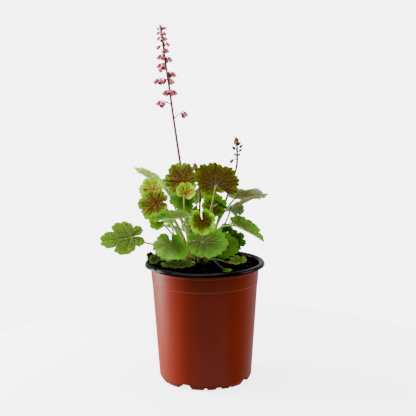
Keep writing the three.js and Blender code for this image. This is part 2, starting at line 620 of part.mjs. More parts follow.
/** A spike: the stem, its branches of bells, and the buds round its tip. */
function makeSpike({ path, radius, branches, buds }, root) {
  const points = [rootPoint(root), ...path.map((point) => new THREE.Vector3(...point))];
  const stem = new THREE.CatmullRomCurve3(points, false, "catmullrom", 0.5);
  const samples = stem.getSpacedPoints(200);
  const nearer = (z) => (a, b) => (Math.abs(b.z - z) < Math.abs(a.z - z) ? b : a);
  const stemAt = (z) => samples.reduce(nearer(z)).clone();
  const parts = [tube(stem, radius, STEM_SIDES, 3 * path.length)];
  const tip = points.at(-1).z;
  branches.forEach((branch) => parts.push(...makeBranch(stemAt, tip, branch)));
  for (let k = 0; k < buds.count; k++) {
    const share = k / (buds.count - 1);
    const base = stemAt(THREE.MathUtils.lerp(buds.from, buds.to, share));
    const turn = k * GOLDEN_TURN;
    const lean = new THREE.Vector3(Math.cos(turn), Math.sin(turn), 0.8 + 2.2 * share);
    parts.push(bud(base, lean, buds.size * (1 - 0.3 * share)));
  }
  return Manifold.union(parts).subtract(crownDome(CLEARANCE));
}

// ---------------------------------------------------------------- assembly

const COLOURS = {
  pot: { color: 0x9c4a2c, roughness: 0.4 },
  soil: { color: 0x1c1410, roughness: 1 },
  crown: { color: 0x4a3524, roughness: 0.9 },
  leaf: { color: 0x5f8a2a, roughness: 0.55 },
  spike: { color: 0xb04a58, roughness: 0.6 },
};

const plant = new THREE.Group();

function add(name, solid, look) {
  const material = new THREE.MeshStandardMaterial({ ...COLOURS[look], metalness: 0, flatShading: true });
  const mesh = new THREE.Mesh(geometryOf(solid), material);
  mesh.name = name;
  plant.add(mesh);
}

add("pot", makePot(), "pot");
add("soil", makeSoil(), "soil");
add("crown", crownDome(0), "crown");

const leaves = LEAVES.map((leaf) => ({ ...LEAF_FORM, ...LEAF_OUTLINE, ...leaf }));
const targets = [...leaves.map(({ at }) => at), ...SPIKES.map(({ path }) => path[0])];
const roots = spreadRoots(targets.map((target) => new THREE.Vector3(...target)));
leaves.forEach((leaf, i) => add(leaf.name, makeLeaf(leaf, roots[i]), "leaf"));
SPIKES.forEach((spike, i) => add(spike.name, makeSpike(spike, roots[leaves.length + i]), "spike"));

export default plant;
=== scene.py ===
"""Dresses a heuchera in flower and its two-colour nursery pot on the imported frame.

Every piece is a surface worked out in millimetres in the row's frame, with +Z up, -Y towards the
front and the origin under the middle of the pot, and it stands for the CAD node that it names.
"""

import logging
import math
from dataclasses import dataclass, field
from enum import Enum

import bpy
import numpy as np
from mathutils import Matrix, Vector


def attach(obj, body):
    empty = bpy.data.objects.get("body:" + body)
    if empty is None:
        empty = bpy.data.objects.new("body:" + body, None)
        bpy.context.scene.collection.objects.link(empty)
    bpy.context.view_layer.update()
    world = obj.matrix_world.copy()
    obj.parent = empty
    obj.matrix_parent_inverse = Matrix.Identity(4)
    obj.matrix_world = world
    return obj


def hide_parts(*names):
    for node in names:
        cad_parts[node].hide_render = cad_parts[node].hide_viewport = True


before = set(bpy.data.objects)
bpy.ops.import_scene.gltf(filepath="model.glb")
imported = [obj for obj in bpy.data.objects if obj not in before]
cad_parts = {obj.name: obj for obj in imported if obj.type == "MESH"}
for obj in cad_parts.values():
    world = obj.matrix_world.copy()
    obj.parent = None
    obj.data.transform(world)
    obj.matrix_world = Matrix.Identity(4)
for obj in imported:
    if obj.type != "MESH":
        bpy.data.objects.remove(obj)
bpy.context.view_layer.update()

MM = 0.001
LOG = logging.getLogger("heuchera")
HAIR_RADIUS = 0.055
CURVE_STEPS = 40
WAVES = 14

Array = np.ndarray
Material = bpy.types.Material
Socket = bpy.types.NodeSocket
Point = tuple[float, float, float]
Span = tuple[float, float]


# ---------------------------------------------------------------- surfaces


@dataclass
class Surface:
    """Points, faces and per-point values of one surface, in millimetres.

    A patch is an array of three- or four-cornered faces with the place of its finish in the
    piece's list. Values are named arrays with one number for each point.
    """

    points: Array
    patches: list[tuple[Array, int]]
    values: dict[str, Array] = field(default_factory=dict)


def joined(surfaces: list[Surface]) -> Surface:
    """Stacks surfaces in one, giving 0 to a value that one of them lacks.

    Args:
        surfaces: The surfaces, in any order.

    Returns:
        One surface with all their points, faces and values.
    """
    names = sorted({name for surface in surfaces for name in surface.values})
    starts = np.cumsum([0] + [len(surface.points) for surface in surfaces])
    patches = [
        (faces + start, finish)
        for surface, start in zip(surfaces, starts)
        for faces, finish in surface.patches
    ]
    values = {
        name: np.concatenate([s.values.get(name, np.zeros(len(s.points))) for s in surfaces])
        for name in names
    }
    return Surface(np.concatenate([s.points for s in surfaces]), patches, values)


def unit(vectors: Array) -> Array:
    """Vectors of length one along the given ones."""
    return vectors / np.maximum(np.linalg.norm(vectors, axis=-1, keepdims=True), 1e-9)


def turns(count: int) -> Array:
    """Evenly spaced angles of one whole turn."""
    return np.linspace(0, 2 * np.pi, count, endpoint=False)


def around(angle: Array | float, radius: Array | float, height: Array | float) -> Array:
    """Points at some angles round Z, at a radius and a height."""
    return np.stack(np.broadcast_arrays(radius * np.cos(angle), radius * np.sin(angle), height), -1)


def run_of(path: Array) -> Array:
    """Distance along a path to each of its points."""
    return np.append(0, np.cumsum(np.linalg.norm(np.diff(path, axis=0), axis=1)))


def between(where: Array | float, marks: Array, rows: Array) -> Array:
    """Rows read off at some places, where marks holds the place of each given row."""
    return np.stack([np.interp(where, marks, column) for column in rows.T], -1)


def lattice(rows: int, columns: int, wrap: bool) -> Array:
    """Four-cornered faces of a grid whose points run along the columns first.

    Seen from outside, a face runs on by a row and then on by a column.

    Args:
        rows: Number of rows of points.
        columns: Number of points in a row.
        wrap: Whether the last column joins the first.

    Returns:
        The faces, as an array of four point numbers each.
    """
    row, column = np.meshgrid(
        np.arange(rows - 1), np.arange(columns if wrap else columns - 1), indexing="ij"
    )
    after = (column + 1) % columns
    corners = [row * columns + column, (row + 1) * columns + column]
    corners += [(row + 1) * columns + after, row * columns + after]
    return np.stack(corners, -1).reshape(-1, 4)


def closed(rows: int, columns: int, finish: int = 0) -> list[tuple[Array, int]]:
    """Patches of a closed body: a wrapped grid, and a fan from each end to a pole.

    The poles are the two points after the grid's.

    Args:
        rows: Number of rows of points.
        columns: Number of points in a row.
        finish: Place of its finish in the piece's list.

    Returns:
        The wall, turned over from the faces of lattice, and both fans.
    """
    here = np.arange(columns)
    after = (here + 1) % columns
    last = (rows - 1) * columns
    first_fan = np.stack([np.full(columns, rows * columns), after, here], -1)
    last_fan = np.stack([np.full(columns, rows * columns + 1), last + here, last + after], -1)
    wall = lattice(rows, columns, True)[:, ::-1]
    return [(wall, finish), (np.concatenate([first_fan, last_fan]), finish)]


def swept(path: Array, radii: Array, sides: int, finish: int = 0) -> Surface:
    """A round stem along a path, closed at both ends by a low cone.

    Each point of the path carries a circle of its own radius, square to the path. The circles
    start from one fixed direction that is square to the path's chord.

    Args:
        path: Points along the middle, from the root up.
        radii: Radius at each point.
        sides: Points round the stem.
        finish: Place of its finish in the piece's list.

    Returns:
        The stem, with the value along running from 0 at the root to 1 at the tip.
    """
    ahead = unit(np.gradient(path, axis=0))
    chord = unit(path[-1] - path[0])
    aside = np.cross(chord, np.eye(3)[np.argmin(np.abs(chord))])
    normal = unit(aside - ahead * (ahead @ aside)[:, None])
    binormal = np.cross(ahead, normal)
    turn = turns(sides)[None, :, None]
    circle = np.cos(turn) * normal[:, None] + np.sin(turn) * binormal[:, None]
    wall = (path[:, None] + circle * radii[:, None, None]).reshape(-1, 3)
    ends = np.stack([path[0] - ahead[0] * radii[0] / 2, path[-1] + ahead[-1] * radii[-1] / 2])
    along = np.append(np.repeat(np.linspace(0, 1, len(path)), sides), [0, 1])
    return Surface(np.concatenate([wall, ends]), closed(len(path), sides, finish), {"along": along})


def revolved(profile: Array, sides: int, finish: int = 0) -> Surface:
    """A body of revolution about Z, from one pole to the other.

    Args:
        profile: [radius, height] points. The first and the last lie on the axis.
        sides: Points round the axis.
        finish: Place of its finish in the piece's list.

    Returns:
        The body, facing outwards where the profile starts at its low pole.
    """
    radius, height = profile[1:-1].T[:, :, None]
    wall = around(turns(sides), radius, height).reshape(-1, 3)
    poles = np.array([[0, 0, profile[0, 1]], [0, 0, profile[-1, 1]]])
    return Surface(np.concatenate([wall, poles]), closed(len(profile) - 2, sides, finish))


def tongue(count: int, skew: float, blunt: float) -> Surface:
    """A slim round tongue of length one that narrows to both ends.

    Its radius is the sine of pi times the height to the power skew, all to the power blunt.

    Args:
        count: Points along it.
        skew: Below one, it is widest under its middle.
        blunt: Below one, its ends are rounder.

    Returns:
        The tongue, along +Z.
    """
    t = np.linspace(0, 1, count)
    return revolved(np.stack([np.sin(np.pi * t**skew) ** blunt, t], -1), 6)


def aligned(directions: Array) -> Array:
    """Frames whose third axis lies along each direction.

    Args:
        directions: Vectors of any length.

    Returns:
        One 3 by 3 array for each, with the axes in its columns.
    """
    third = unit(directions)
    helper = np.where(np.abs(third[:, 2:]) > 0.9, [[1.0, 0, 0]], [[0, 0, 1.0]])
    first = unit(np.cross(helper, third))
    return np.stack([first, np.cross(third, first), third], -1)


def copies(shape: Surface, places: Array, frames: Array, scales: Array) -> Surface:
    """Repeats a small shape: each copy is scaled along its own axes, turned and moved.

    Args:
        shape: The shape, round its own origin.
        places: Where each copy goes.
        frames: How each is turned, as 3 by 3 arrays.
        scales: Its size along its three axes.

    Returns:
        All the copies, with the value tone running evenly from 0 to 1 over them.
    """
    count, size = len(places), len(shape.points)
    points = np.einsum("kij,kpj->kpi", frames, shape.points[None] * scales[:, None]) + places[:, None]
    starts = np.arange(count)[:, None, None] * size
    patches = [
        ((faces[None] + starts).reshape(-1, faces.shape[1]), finish)
        for faces, finish in shape.patches
    ]
    values = {name: np.tile(value, count) for name, value in shape.values.items()}
    values["tone"] = np.repeat(np.linspace(0, 1, count), size)
    return Surface(points.reshape(-1, 3), patches, values)


def ripple(points: Array, length: float, seed: int) -> Array:
    """A smooth unevenness between about -1 and 1: the sum of waves in seeded random directions.

    Args:
        points: Where it is wanted.
        length: Typical distance between two crests.
        seed: Number that picks the waves.

    Returns:
        One number for each point.
    """
    rng = np.random.default_rng(seed)
    waves = unit(rng.normal(size=(WAVES, 3))) * rng.uniform(0.6, 1.7, (WAVES, 1)) * 2 * np.pi / length
    return np.sin(points @ waves.T + rng.uniform(0, 2 * np.pi, WAVES)).sum(-1) / 4.5


def flowing(knots: Array, count: int) -> Array:
    """Evenly spaced points on the uniform Catmull-Rom curve through some knots.

    Between two knots the curve is the cubic whose end slopes are half the step between the knots
    on either side of each.

    Args:
        knots: Points that it passes through.
        count: Number of points wanted.

    Returns:
        The points, from the first knot to the last.
    """
    ends = np.stack([2 * knots[0] - knots[1], 2 * knots[-1] - knots[-2]])
    padded = np.concatenate([ends[:1], knots, ends[1:]])
    t = np.linspace(0, 1, CURVE_STEPS, endpoint=False)[None, :, None]
    a, b, c, d = (padded[i : len(padded) - 3 + i, None] for i in range(4))
    slope_b, slope_c = (c - a) / 2, (d - b) / 2
    curve = b + slope_b * t + (3 * (c - b) - 2 * slope_b - slope_c) * t**2
    curve = curve + (2 * (b - c) + slope_b + slope_c) * t**3
    line = np.concatenate([curve.reshape(-1, 3), knots[-1:]])
    run = run_of(line)
    return between(np.linspace(0, run[-1], count), run, line)


def hairs(path: Array, radii: Array, spacing: float, length: float, finish: int, seed: int) -> Surface:
    """Fine hairs that stand out of a stem, each a slim three-sided spike.

    Args:
        path: Points along the stem's middle.
        radii: Its radius at each.
        spacing: Mean distance along the stem from one hair to the next.
        length: Mean length of a hair.
        finish: Place of their finish in the piece's list.
        seed: Number that picks their places.

    Returns:
        All the hairs.
    """
    rng = np.random.default_rng(seed)
    run = run_of(path)
    count = max(4, int(run[-1] / spacing))
    where = rng.uniform(0.04, 0.99, count) * run[-1]
    ahead = unit(between(where, run, np.gradient(path, axis=0)))
    out = unit(np.cross(ahead, rng.normal(size=(count, 3))))
    foot = between(where, run, path) + out * np.interp(where, run, radii)[:, None] * 0.9
    lean = unit(out + ahead * rng.uniform(-0.5, 0.3, (count, 1)))
    root = around(np.radians([0, 120, 240]), 1.0, 0.0)
    spike = Surface(
        np.concatenate([root, [[0, 0, 1.0]]]),
        [(np.array([[0, 1, 3], [1, 2, 3], [2, 0, 3], [0, 2, 1]]), finish)],
    )
    reach = length * rng.uniform(0.5, 1.3, count)
    width = np.full(count, HAIR_RADIUS)
    return copies(spike, foot, aligned(lean), np.stack([width, width, reach], -1))


def make_piece(
    name: str, surface: Surface, finishes: list[Material], node: str, crease: float = 180.0
) -> None:
    """Puts a surface into a mesh, dresses it and sets it on the frame in place of a CAD node.

    Args:
        name: The piece's name.
        surface: Its points and faces, in millimetres.
        finishes: Its materials, in the order that the patches name them.
        node: The CAD node that it stands for, or an empty text for a piece of its own.
        crease: Angle in degrees above which an edge is sharp.
    """
    mesh = bpy.data.meshes.new(name)
    mesh.vertices.add(len(surface.points))
    mesh.vertices.foreach_set("co", (surface.points * MM).ravel())
    corners = np.concatenate([faces.ravel() for faces, _ in surface.patches])
    sizes = np.concatenate([np.full(len(faces), faces.shape[1]) for faces, _ in surface.patches])
    places = np.concatenate([np.full(len(faces), finish) for faces, finish in surface.patches])
    mesh.loops.add(len(corners))
    mesh.loops.foreach_set("vertex_index", corners.astype(np.int32))
    mesh.polygons.add(len(sizes))
    mesh.polygons.foreach_set("loop_start", (np.cumsum(sizes) - sizes).astype(np.int32))
    for finish in finishes:
        mesh.materials.append(finish)
    mesh.polygons.foreach_set("material_index", places.astype(np.int32))
    mesh.update(calc_edges=True)
    mesh.shade_smooth()
    if crease < 180:
        mesh.set_sharp_from_angle(angle=math.radians(crease))
    for key, value in surface.values.items():
        mesh.attributes.new(key, "FLOAT", "POINT").data.foreach_set("value", value.astype(np.float32))
    piece = bpy.data.objects.new(name, mesh)
    bpy.context.scene.collection.objects.link(piece)
    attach(piece, "root")
    if node:
        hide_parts(node)
    LOG.info("%s: %d faces", name, len(sizes))


# ---------------------------------------------------------------- finishes


def colour(code: str) -> tuple[float, float, float, float]:
    """Turns an sRGB hex colour into the linear colour that a socket takes.

    Args:
        code: The colour, such as "#8c3a20".

    Returns:
        Its red, green, blue and alpha.
    """
    channels = np.array([int(code[i : i + 2], 16) for i in (1, 3, 5)]) / 255
    linear = np.where(channels <= 0.04045, channels / 12.92, ((channels + 0.055) / 1.055) ** 2.4)
    return (*linear.tolist(), 1.0)


@dataclass
class Nodes:
    """A node tree, with short ways to add the nodes that recur."""

    tree: bpy.types.NodeTree

    def feed(self, socket: Socket, value: object) -> None:
        """Feeds an input.

        Args:
            socket: The input.
            value: A socket to link, a plain value or a hex colour.
        """
        if isinstance(value, Socket):
            self.tree.links.new(value, socket)
        else:
            socket.default_value = colour(value) if isinstance(value, str) else value

    def add(
        self, kind: str, settings: dict | None = None, inputs: dict | None = None,
        output: str | int = 0,
    ) -> Socket:
        """Adds a node.

        Args:
            kind: The node's type.
            settings: Values of its own properties.
            inputs: Values or sockets for its inputs, by their names or places.
            output: Name or place of the output wanted.

        Returns:
            That output's socket.
        """
        node = self.tree.nodes.new(kind)
        for key, value in (settings or {}).items():
            setattr(node, key, value)
        for key, value in (inputs or {}).items():
            self.feed(node.inputs[key], value)
        return node.outputs[output]

    def place(self) -> Socket:
        """The place in the object, in metres."""
        return self.add("ShaderNodeTexCoord", output="Object")

    def value(self, name: str) -> Socket:
        """One of the values that the surface carries."""
        return self.add("ShaderNodeAttribute", {"attribute_name": name}, output="Fac")

    def stretched(self, at: Socket, scale: Point) -> Socket:
        """A place scaled along each axis."""
        return self.add("ShaderNodeMapping", None, {"Vector": at, "Scale": scale})

    def noise(self, at: Socket, scale: float, detail: float = 2.0) -> Socket:
        """Noise between 0 and 1."""
        return self.add("ShaderNodeTexNoise", None, {"Vector": at, "Scale": scale, "Detail": detail})

    def spread(
        self, value: Socket, source: tuple = (0.0, 1.0), target: Span = (0.0, 1.0), smooth: bool = True
    ) -> Socket:
        """Maps a value from one range to another.

        Args:
            value: The value.
            source: The range it comes from.
            target: The range it goes to.
            smooth: Whether it eases in and out.

        Returns:
            The new value.
        """
        ends = {"From Min": source[0], "From Max": source[1], "To Min": target[0], "To Max": target[1]}
        kind = "SMOOTHSTEP" if smooth else "LINEAR"
        return self.add("ShaderNodeMapRange", {"interpolation_type": kind}, {"Value": value, **ends})

    def mask(self, value: Socket, width: Socket | float) -> Socket:
        """A mask that falls from 1 where a value is 0 to 0 where it reaches a width."""
        return self.spread(value, (0.0, width), (1.0, 0.0))

    def math(self, operation: str, *terms: Socket | float, clamp: bool = False) -> Socket:
        """The outcome of an operation on some terms, kept between 0 and 1 on request."""
        settings = {"operation": operation, "use_clamp": clamp}
        return self.add("ShaderNodeMath", settings, dict(enumerate(terms)))

    def scaled_sum(self, term: Socket, times: Socket | float, rest: Socket, clamp: bool = False) -> Socket:
        """A term times something, plus the rest."""
        return self.math("MULTIPLY_ADD", term, times, rest, clamp=clamp)

    def mix(self, share: Socket, first: Socket | str, second: Socket | str) -> Socket:
        """A colour between two: the first where share is 0 and the second where it is 1."""
        return self.add("ShaderNodeMix", {"data_type": "RGBA"}, {0: share, 6: first, 7: second}, 2)

    def bump(self, height: Socket, strength: float, distance: float) -> Socket:
        """A normal bent by a height."""
        inputs = {"Height": height, "Strength": strength, "Distance": distance}
        return self.add("ShaderNodeBump", None, inputs)


class Paint(Nodes):
    """The nodes of one new material, whose Principled shader they feed."""

    def __init__(self, name: str, **constants: object) -> None:
        """Starts a material.

        Args:
            name: Its name.
            **constants: What its shader's inputs are set to, as for finished.
        """
        self.material = bpy.data.materials.new(name)
        self.material.use_nodes = True
        super().__init__(self.material.node_tree)
        self.finished(**constants)

    def finished(self, **inputs: object) -> Material:
        """Feeds the shader's inputs.

        Args:
            **inputs: Values or sockets by the inputs' names, with underscores for their spaces.

        Returns:
            The material.
        """
        shader = self.tree.nodes["Principled BSDF"]
        for key, value in inputs.items():
            self.feed(shader.inputs[key.replace("_", " ")], value)
        return self.material


@dataclass(frozen=True)
class MouldedPlastic:
    """Thermoformed polypropylene sheet: a satin gloss, faintly streaked where the mould drew it.

    The streaks run up the wall about 3 mm apart and are drawn far softer than they are wide, so
    they break up a reflection without showing as lines. Thin rings round the wall, at the heights
    rings in millimetres, are painted paler over RING_HALF to either side: painted highlights, where
    the band steps catch the light.
    """

    name: str
    body: str
    shade: str
    roughness: float
    gloss: float
    # tint of the painted highlight rings
    highlight_tint: str = "#d0907a"
    rings: tuple[float, ...] = ()

    RING_HALF = 0.8
    RING_STRENGTH = 0.32
    STREAKS = (330, 330, 14)
    CLOUDS = 22.0
    GRAIN = 700.0

    def material(self) -> Material:
        """Makes its material.

        Returns:
            The material.
        """
        paint = Paint(self.name, IOR=1.49, Specular_IOR_Level=self.gloss)
        place = paint.place()
        streak = paint.noise(paint.stretched(place, self.STREAKS), 1.0, 3.0)
        cloud = paint.noise(place, self.CLOUDS, 4.0)
        body = paint.mix(paint.spread(cloud, (0.3, 0.75), (0.0, 0.7)), self.body, self.shade)
        matt = (self.roughness * 0.85, self.roughness * 1.2)
        dull = paint.spread(cloud, target=matt, smooth=False)
        height = paint.scaled_sum(paint.noise(place, self.GRAIN), 0.35, streak)
        level = paint.add("ShaderNodeSeparateXYZ", None, {"Vector": place}, "Z")
        # painted highlights: each ring mixes the body towards the paler tint by the share worn, where a band
        # step catches the light
        for ring in self.rings:
            near = paint.math("ABSOLUTE", paint.math("SUBTRACT", level, ring * MM))
            worn = paint.spread(near, (0.0, self.RING_HALF * MM), (self.RING_STRENGTH, 0.0))
            body = paint.mix(worn, body, self.highlight_tint)
        relief = paint.bump(height, 0.06, 0.0004)
        return paint.finished(Base_Color=body, Roughness=dull, Normal=relief)


@dataclass(frozen=True)
class PottingMix:
    """Damp peat and fine bark: matt and almost black, with brown and tan bits among it. The default
    peat and bark tints are darker than damp peat itself: partly its own dark colour and partly
    painted shade, for the shade that the leaves cast on the soil.

    Its crumbs are 1 to 4 mm across, and each takes its tint from the value tone.
    """

    name: str
    # partly painted shade: darker than real damp peat, for the shade under the leaves
    peat: str = "#030202"
    bark: str = "#0c0805"
    chip: str = "#4a3826"

    CRUMBS = 420.0

    def material(self) -> Material:
        """Makes its material.

        Returns:
            The material.
        """
        paint = Paint(self.name, Roughness=0.88, IOR=1.45, Specular_IOR_Level=0.04)
        crumb = paint.noise(paint.place(), self.CRUMBS, 6.0)
        ground = paint.mix(paint.spread(crumb, (0.45, 0.75)), self.peat, self.bark)
        pick = paint.spread(paint.value("tone"), (0.96, 1.0), (0.0, 0.8))
        body = paint.mix(pick, ground, self.chip)
        return paint.finished(Base_Color=body, Normal=paint.bump(crumb, 0.9, 0.001))


@dataclass(frozen=True)
class SoftTissue:
    """Stalks, stems, bells, buds and other soft plant tissue, tinted from one end to the other.

    The value along runs from 0, the low tint, to 1, the high tint, and a mottle of a millimetre
    or two breaks both up. Living tissue lets light in a little, and fine down gives it a sheen.
    """

    name: str
    low: str
    high: str
    mottle: str
    turn: Span = (0.0, 1.0)
    roughness: float = 0.5
    depth: float = 0.15

    FLECKS = 480.0

    def material(self) -> Material:
        """Makes its material.

        Returns:
            The material.
        """
        paint = Paint(
            self.name, Roughness=self.roughness, IOR=1.42, Subsurface_Weight=self.depth,
            Subsurface_Scale=0.0012, Sheen_Weight=0.06, Sheen_Roughness=0.5,
        )
        tint = paint.mix(paint.spread(paint.value("along"), self.turn), self.low, self.high)
        fleck = paint.noise(paint.place(), self.FLECKS, 3.0)
        body = paint.mix(paint.spread(fleck, (0.45, 0.8), (0.0, 0.7)), tint, self.mottle)
        return paint.finished(Base_Color=body, Normal=paint.bump(fleck, 0.25, 0.0003))


@dataclass(frozen=True)
class LeafSkin:
    """The skin of a heuchera's blade: green tissue, with bronze pigment that keeps to the veins.

    The values gap and run are the distance across to the nearest main vein and along it, and
    reach the share of the way to the margin, all as shares of the leaf's size. The value fan
    grows by 2 from one lobe's midline to the next. Main veins narrow towards the margin. Side veins
    leave them at a slant, one every SIDE_VEINS of the size, which is 4 mm on a 30 mm blade, and
    the finest net has meshes of about 2 mm. The pigment follows the main veins and some twelve
    forking streaks in each lobe, so it shows the eye a net of brown rays on green. The veins are
    sunk into the skin, or raised where relief is negative.
    """

    name: str
    green: str
    heart: str
    bronze: str
    vein: str
    fill: float = 0.0
    fill_reach: float = 0.85
    follow: float = 0.0
    line: float = 0.3
    line_reach: float = 0.9
    relief: float = 1.0
    roughness: float = 0.5
    depth: float = 0.4
    glow: Point = (0.6, 1.0, 0.2)

    SIDE_VEINS = 0.15
    SLANT = 0.8
    RAYS = (5.5, 3.0, 2.0)
    DRIFT = 110.0
    NET = 480.0
    DOWN = 1500.0

    def material(self) -> Material:
        """Makes its material.

        Returns:
            The material.
        """
        paint = Paint(
            self.name, IOR=1.4, Specular_IOR_Level=0.06, Subsurface_Weight=self.depth,
            Subsurface_Scale=0.002, Subsurface_Radius=self.glow,
        )
        main, side, halo, drift, net = self.veins(paint)
        reach = paint.value("reach")
        uneven = paint.scaled_sum(drift, 0.7, reach)
        green = paint.mix(paint.spread(uneven, (0.3, 0.9)), self.heart, self.green)
        end = self.fill_reach
        filled = paint.spread(uneven, (end - 0.25, end + 0.2), (self.fill, 0.0))
        faded = paint.spread(uneven, (end - 0.1, end + 0.35), (self.follow, 0.0))
        body = paint.mix(paint.scaled_sum(halo, faded, filled, clamp=True), green, self.bronze)
        drawn = paint.spread(reach, (self.line_reach * 0.6, self.line_reach), (self.line, 0.0))
        thin = paint.scaled_sum(side, 0.3, main, clamp=True)
        body = paint.mix(paint.math("MULTIPLY", thin, drawn), body, self.vein)
        down = paint.noise(paint.place(), self.DOWN)
        matt = (self.roughness - 0.08, self.roughness + 0.12)
        dull = paint.spread(down, target=matt, smooth=False)
        cut = paint.scaled_sum(net, 0.3, paint.scaled_sum(side, 0.6, main))
        relief = paint.bump(paint.scaled_sum(cut, -self.relief, down), 0.5, 0.0008)
        return paint.finished(Base_Color=body, Roughness=dull, Normal=relief)

    def veins(self, paint: Paint) -> tuple[Socket, ...]:
        """Draws the veins as masks.

        Args:
            paint: The material's nodes.

        Returns:
            Masks of the main veins, the side veins and the pigment's places, a slow drift about 0,
            and a mask of the finest net.
        """
        gap, run, reach, fan = (paint.value(key) for key in ("gap", "run", "reach", "fan"))
        place = paint.place()
        drift = paint.math("SUBTRACT", paint.noise(place, self.DRIFT, 4.0), 0.5)
        main = paint.mask(gap, paint.spread(reach, target=(0.026, 0.008), smooth=False))
        bent = paint.scaled_sum(drift, 0.16, paint.scaled_sum(gap, -self.SLANT, run))
        off = paint.math("PINGPONG", paint.math("DIVIDE", bent, self.SIDE_VEINS), 0.5)
        rays = paint.add("ShaderNodeCombineXYZ", None, {"X": fan, "Y": reach, "Z": drift})
        ray = paint.spread(paint.noise(paint.stretched(rays, self.RAYS), 1.0, 2.5), (0.42, 0.6))
        halo = paint.math("MAXIMUM", paint.mask(gap, 0.06), ray)
        edges = {"feature": "DISTANCE_TO_EDGE"}
        meshes = paint.add("ShaderNodeTexVoronoi", edges, {"Vector": place, "Scale": self.NET})
        return main, paint.mask(off, 0.1), halo, drift, paint.mask(meshes, 0.16)


class Look(Enum):
    """How a leaf's upper face has coloured: its green, heart, bronze and vein, and the shares of them. The
    last two are painted shade: darker copies of a green skin, for leaves that lie in shade.
    """

    BRONZE_DARK = LeafSkin(
        "heuchera_skin_dark_bronze", "#526007", "#4d4907", "#4a3205", "#8f8a70",
        fill=0.6, fill_reach=0.9, follow=0.8, line=0.45, line_reach=0.55,
    )
    BRONZE = LeafSkin(
        "heuchera_skin_bronze", "#7ba838", "#7b8537", "#70451e", "#847239",
        fill=0.5, fill_reach=0.85, follow=0.9, line=0.5, line_reach=0.5,
    )
    BRONZE_VEINED = LeafSkin(
        "heuchera_skin_bronze_veined", "#70a817", "#687913", "#57320d", "#512b0a",
        fill=0.45, fill_reach=0.85, follow=0.85, line=0.7, line_reach=0.9,
    )
    BRONZE_GREEN = LeafSkin(
        "heuchera_skin_bronze_green", "#6ba71b", "#778a18", "#5f3e09", "#5d4117",
        fill=0.25, fill_reach=0.6, follow=0.75, line=0.4, line_reach=0.8,
    )
    BRONZE_EDGED = LeafSkin(
        "heuchera_skin_bronze_heart", "#9ced27", "#637005", "#583601", "#48330e",
        fill=0.32, fill_reach=0.68, follow=0.9, line=0.4, line_reach=0.7,
    )
    YOUNG_RED = LeafSkin(
        "heuchera_skin_young_red_veined", "#b9ff28", "#bfcf39", "#88321f", "#962421",
        fill=0.05, fill_reach=0.7, follow=1.0, line=1.0, line_reach=0.8,
    )
    YOUNG_PALE = LeafSkin(
        "heuchera_skin_young_pale", "#9acb2c", "#8aba26", "#8a8824", "#bee160",
        follow=0.2, line=0.5, line_reach=0.9,
    )
    GREEN = LeafSkin(
        "heuchera_skin_green", "#74a03c", "#6b873f", "#595d18", "#90ad51",
        fill=0.1, fill_reach=0.5, follow=0.45, line=0.4, line_reach=0.8,
    )
    GREEN_BROAD = LeafSkin(
        "heuchera_skin_green_broad", "#59781b", "#4d6523", "#484109", "#8ba44d",
        fill=0.1, fill_reach=0.6, follow=0.35, line=0.4, line_reach=0.7,
    )
    GREEN_VEINED = LeafSkin(
        "heuchera_skin_green_veined", "#5ea02b", "#62842f", "#47420c", "#b0b890",
        fill=0.05, fill_reach=0.8, follow=0.55, line=0.6, line_reach=0.75,
    )
    GREEN_TINTED = LeafSkin(
        "heuchera_skin_green_tinted", "#5d912b", "#5d702a", "#443c15", "#848640",
        fill=0.1, fill_reach=0.5, follow=0.4, line=0.35, line_reach=0.85,
    )
    GREEN_PALE = LeafSkin(
        "heuchera_skin_green_pale", "#7da340", "#718d39", "#5f5e28", "#adc16f",
        fill=0.1, fill_reach=0.3, follow=0.3, line=0.45, line_reach=0.85,
    )
    GREEN_SILVERED = LeafSkin(
        "heuchera_skin_green_silvered", "#a0a982", "#949f73", "#84a060", "#c8d8b8",
        fill=0.05, fill_reach=0.3, follow=0.2, line=0.45, line_reach=0.85,
    )
    # painted shade: a darker copy of the shaded green for leaves lying low on the soil under the canopy,
    # paler at the margin where their edge catches the light
    DEEP_SHADE = LeafSkin(
        "heuchera_skin_deep_shade", "#3c5a14", "#26380c", "#302c0c", "#4c5c24",
        fill=0.3, fill_reach=0.6, follow=0.4, line=0.35, line_reach=0.8,
    )
    SHADED = LeafSkin(
        "heuchera_skin_shaded", "#437a15", "#2f5011", "#2a2e0e", "#4e6d2c",
        fill=0.1, fill_reach=0.5, follow=0.4, line=0.35, line_reach=0.8,
    )


def underskin(name: str, *colours: str, **shares: object) -> LeafSkin:
    """The skin of a lower face, on which the veins stand out, from its colours and shares."""
    return LeafSkin(name, *colours, fill=0.1, fill_reach=0.8, line_reach=1.0, relief=-1.2, **shares)


# partly painted light: the lower face's own pale colour, made paler still so that undersides hanging in
# shade come out light
UNDERSKIN = underskin(
    "heuchera_underskin", "#d0d49b", "#c4c58b", "#a99c6b", "#d2dcb0",
    follow=0.3, line=0.6, roughness=0.6, glow=(1.0, 1.0, 1.0),
)
# painted shade: a dark green copy of the lower face, for an underside that shows in the shade inside the
# plant
SHADED_UNDERSKIN = underskin(
    "heuchera_shaded_underskin", "#3d7811", "#345d11", "#252c09", "#4e6d2c",
    follow=0.3, line=0.4, roughness=0.6,
)
MID_UNDERSKIN = underskin(
    "heuchera_mid_underskin", "#7c8e4c", "#748644", "#5e7430", "#98a878",
    follow=0.4, line=0.6, depth=0.6,
)
PALE_UNDERSKIN = underskin(
    "heuchera_pale_underskin", "#b0c76e", "#a9c065", "#8da84b", "#cbd69d",
    follow=0.4, line=0.6, depth=0.7,
)

# partly painted light: the stalks' own yellow-green, brightened for the light that comes through them from
# behind
STALK = SoftTissue("heuchera_leaf_stalk", "#9c9850", "#a0bc58", "#b8cc70", turn=(0.0, 0.35))
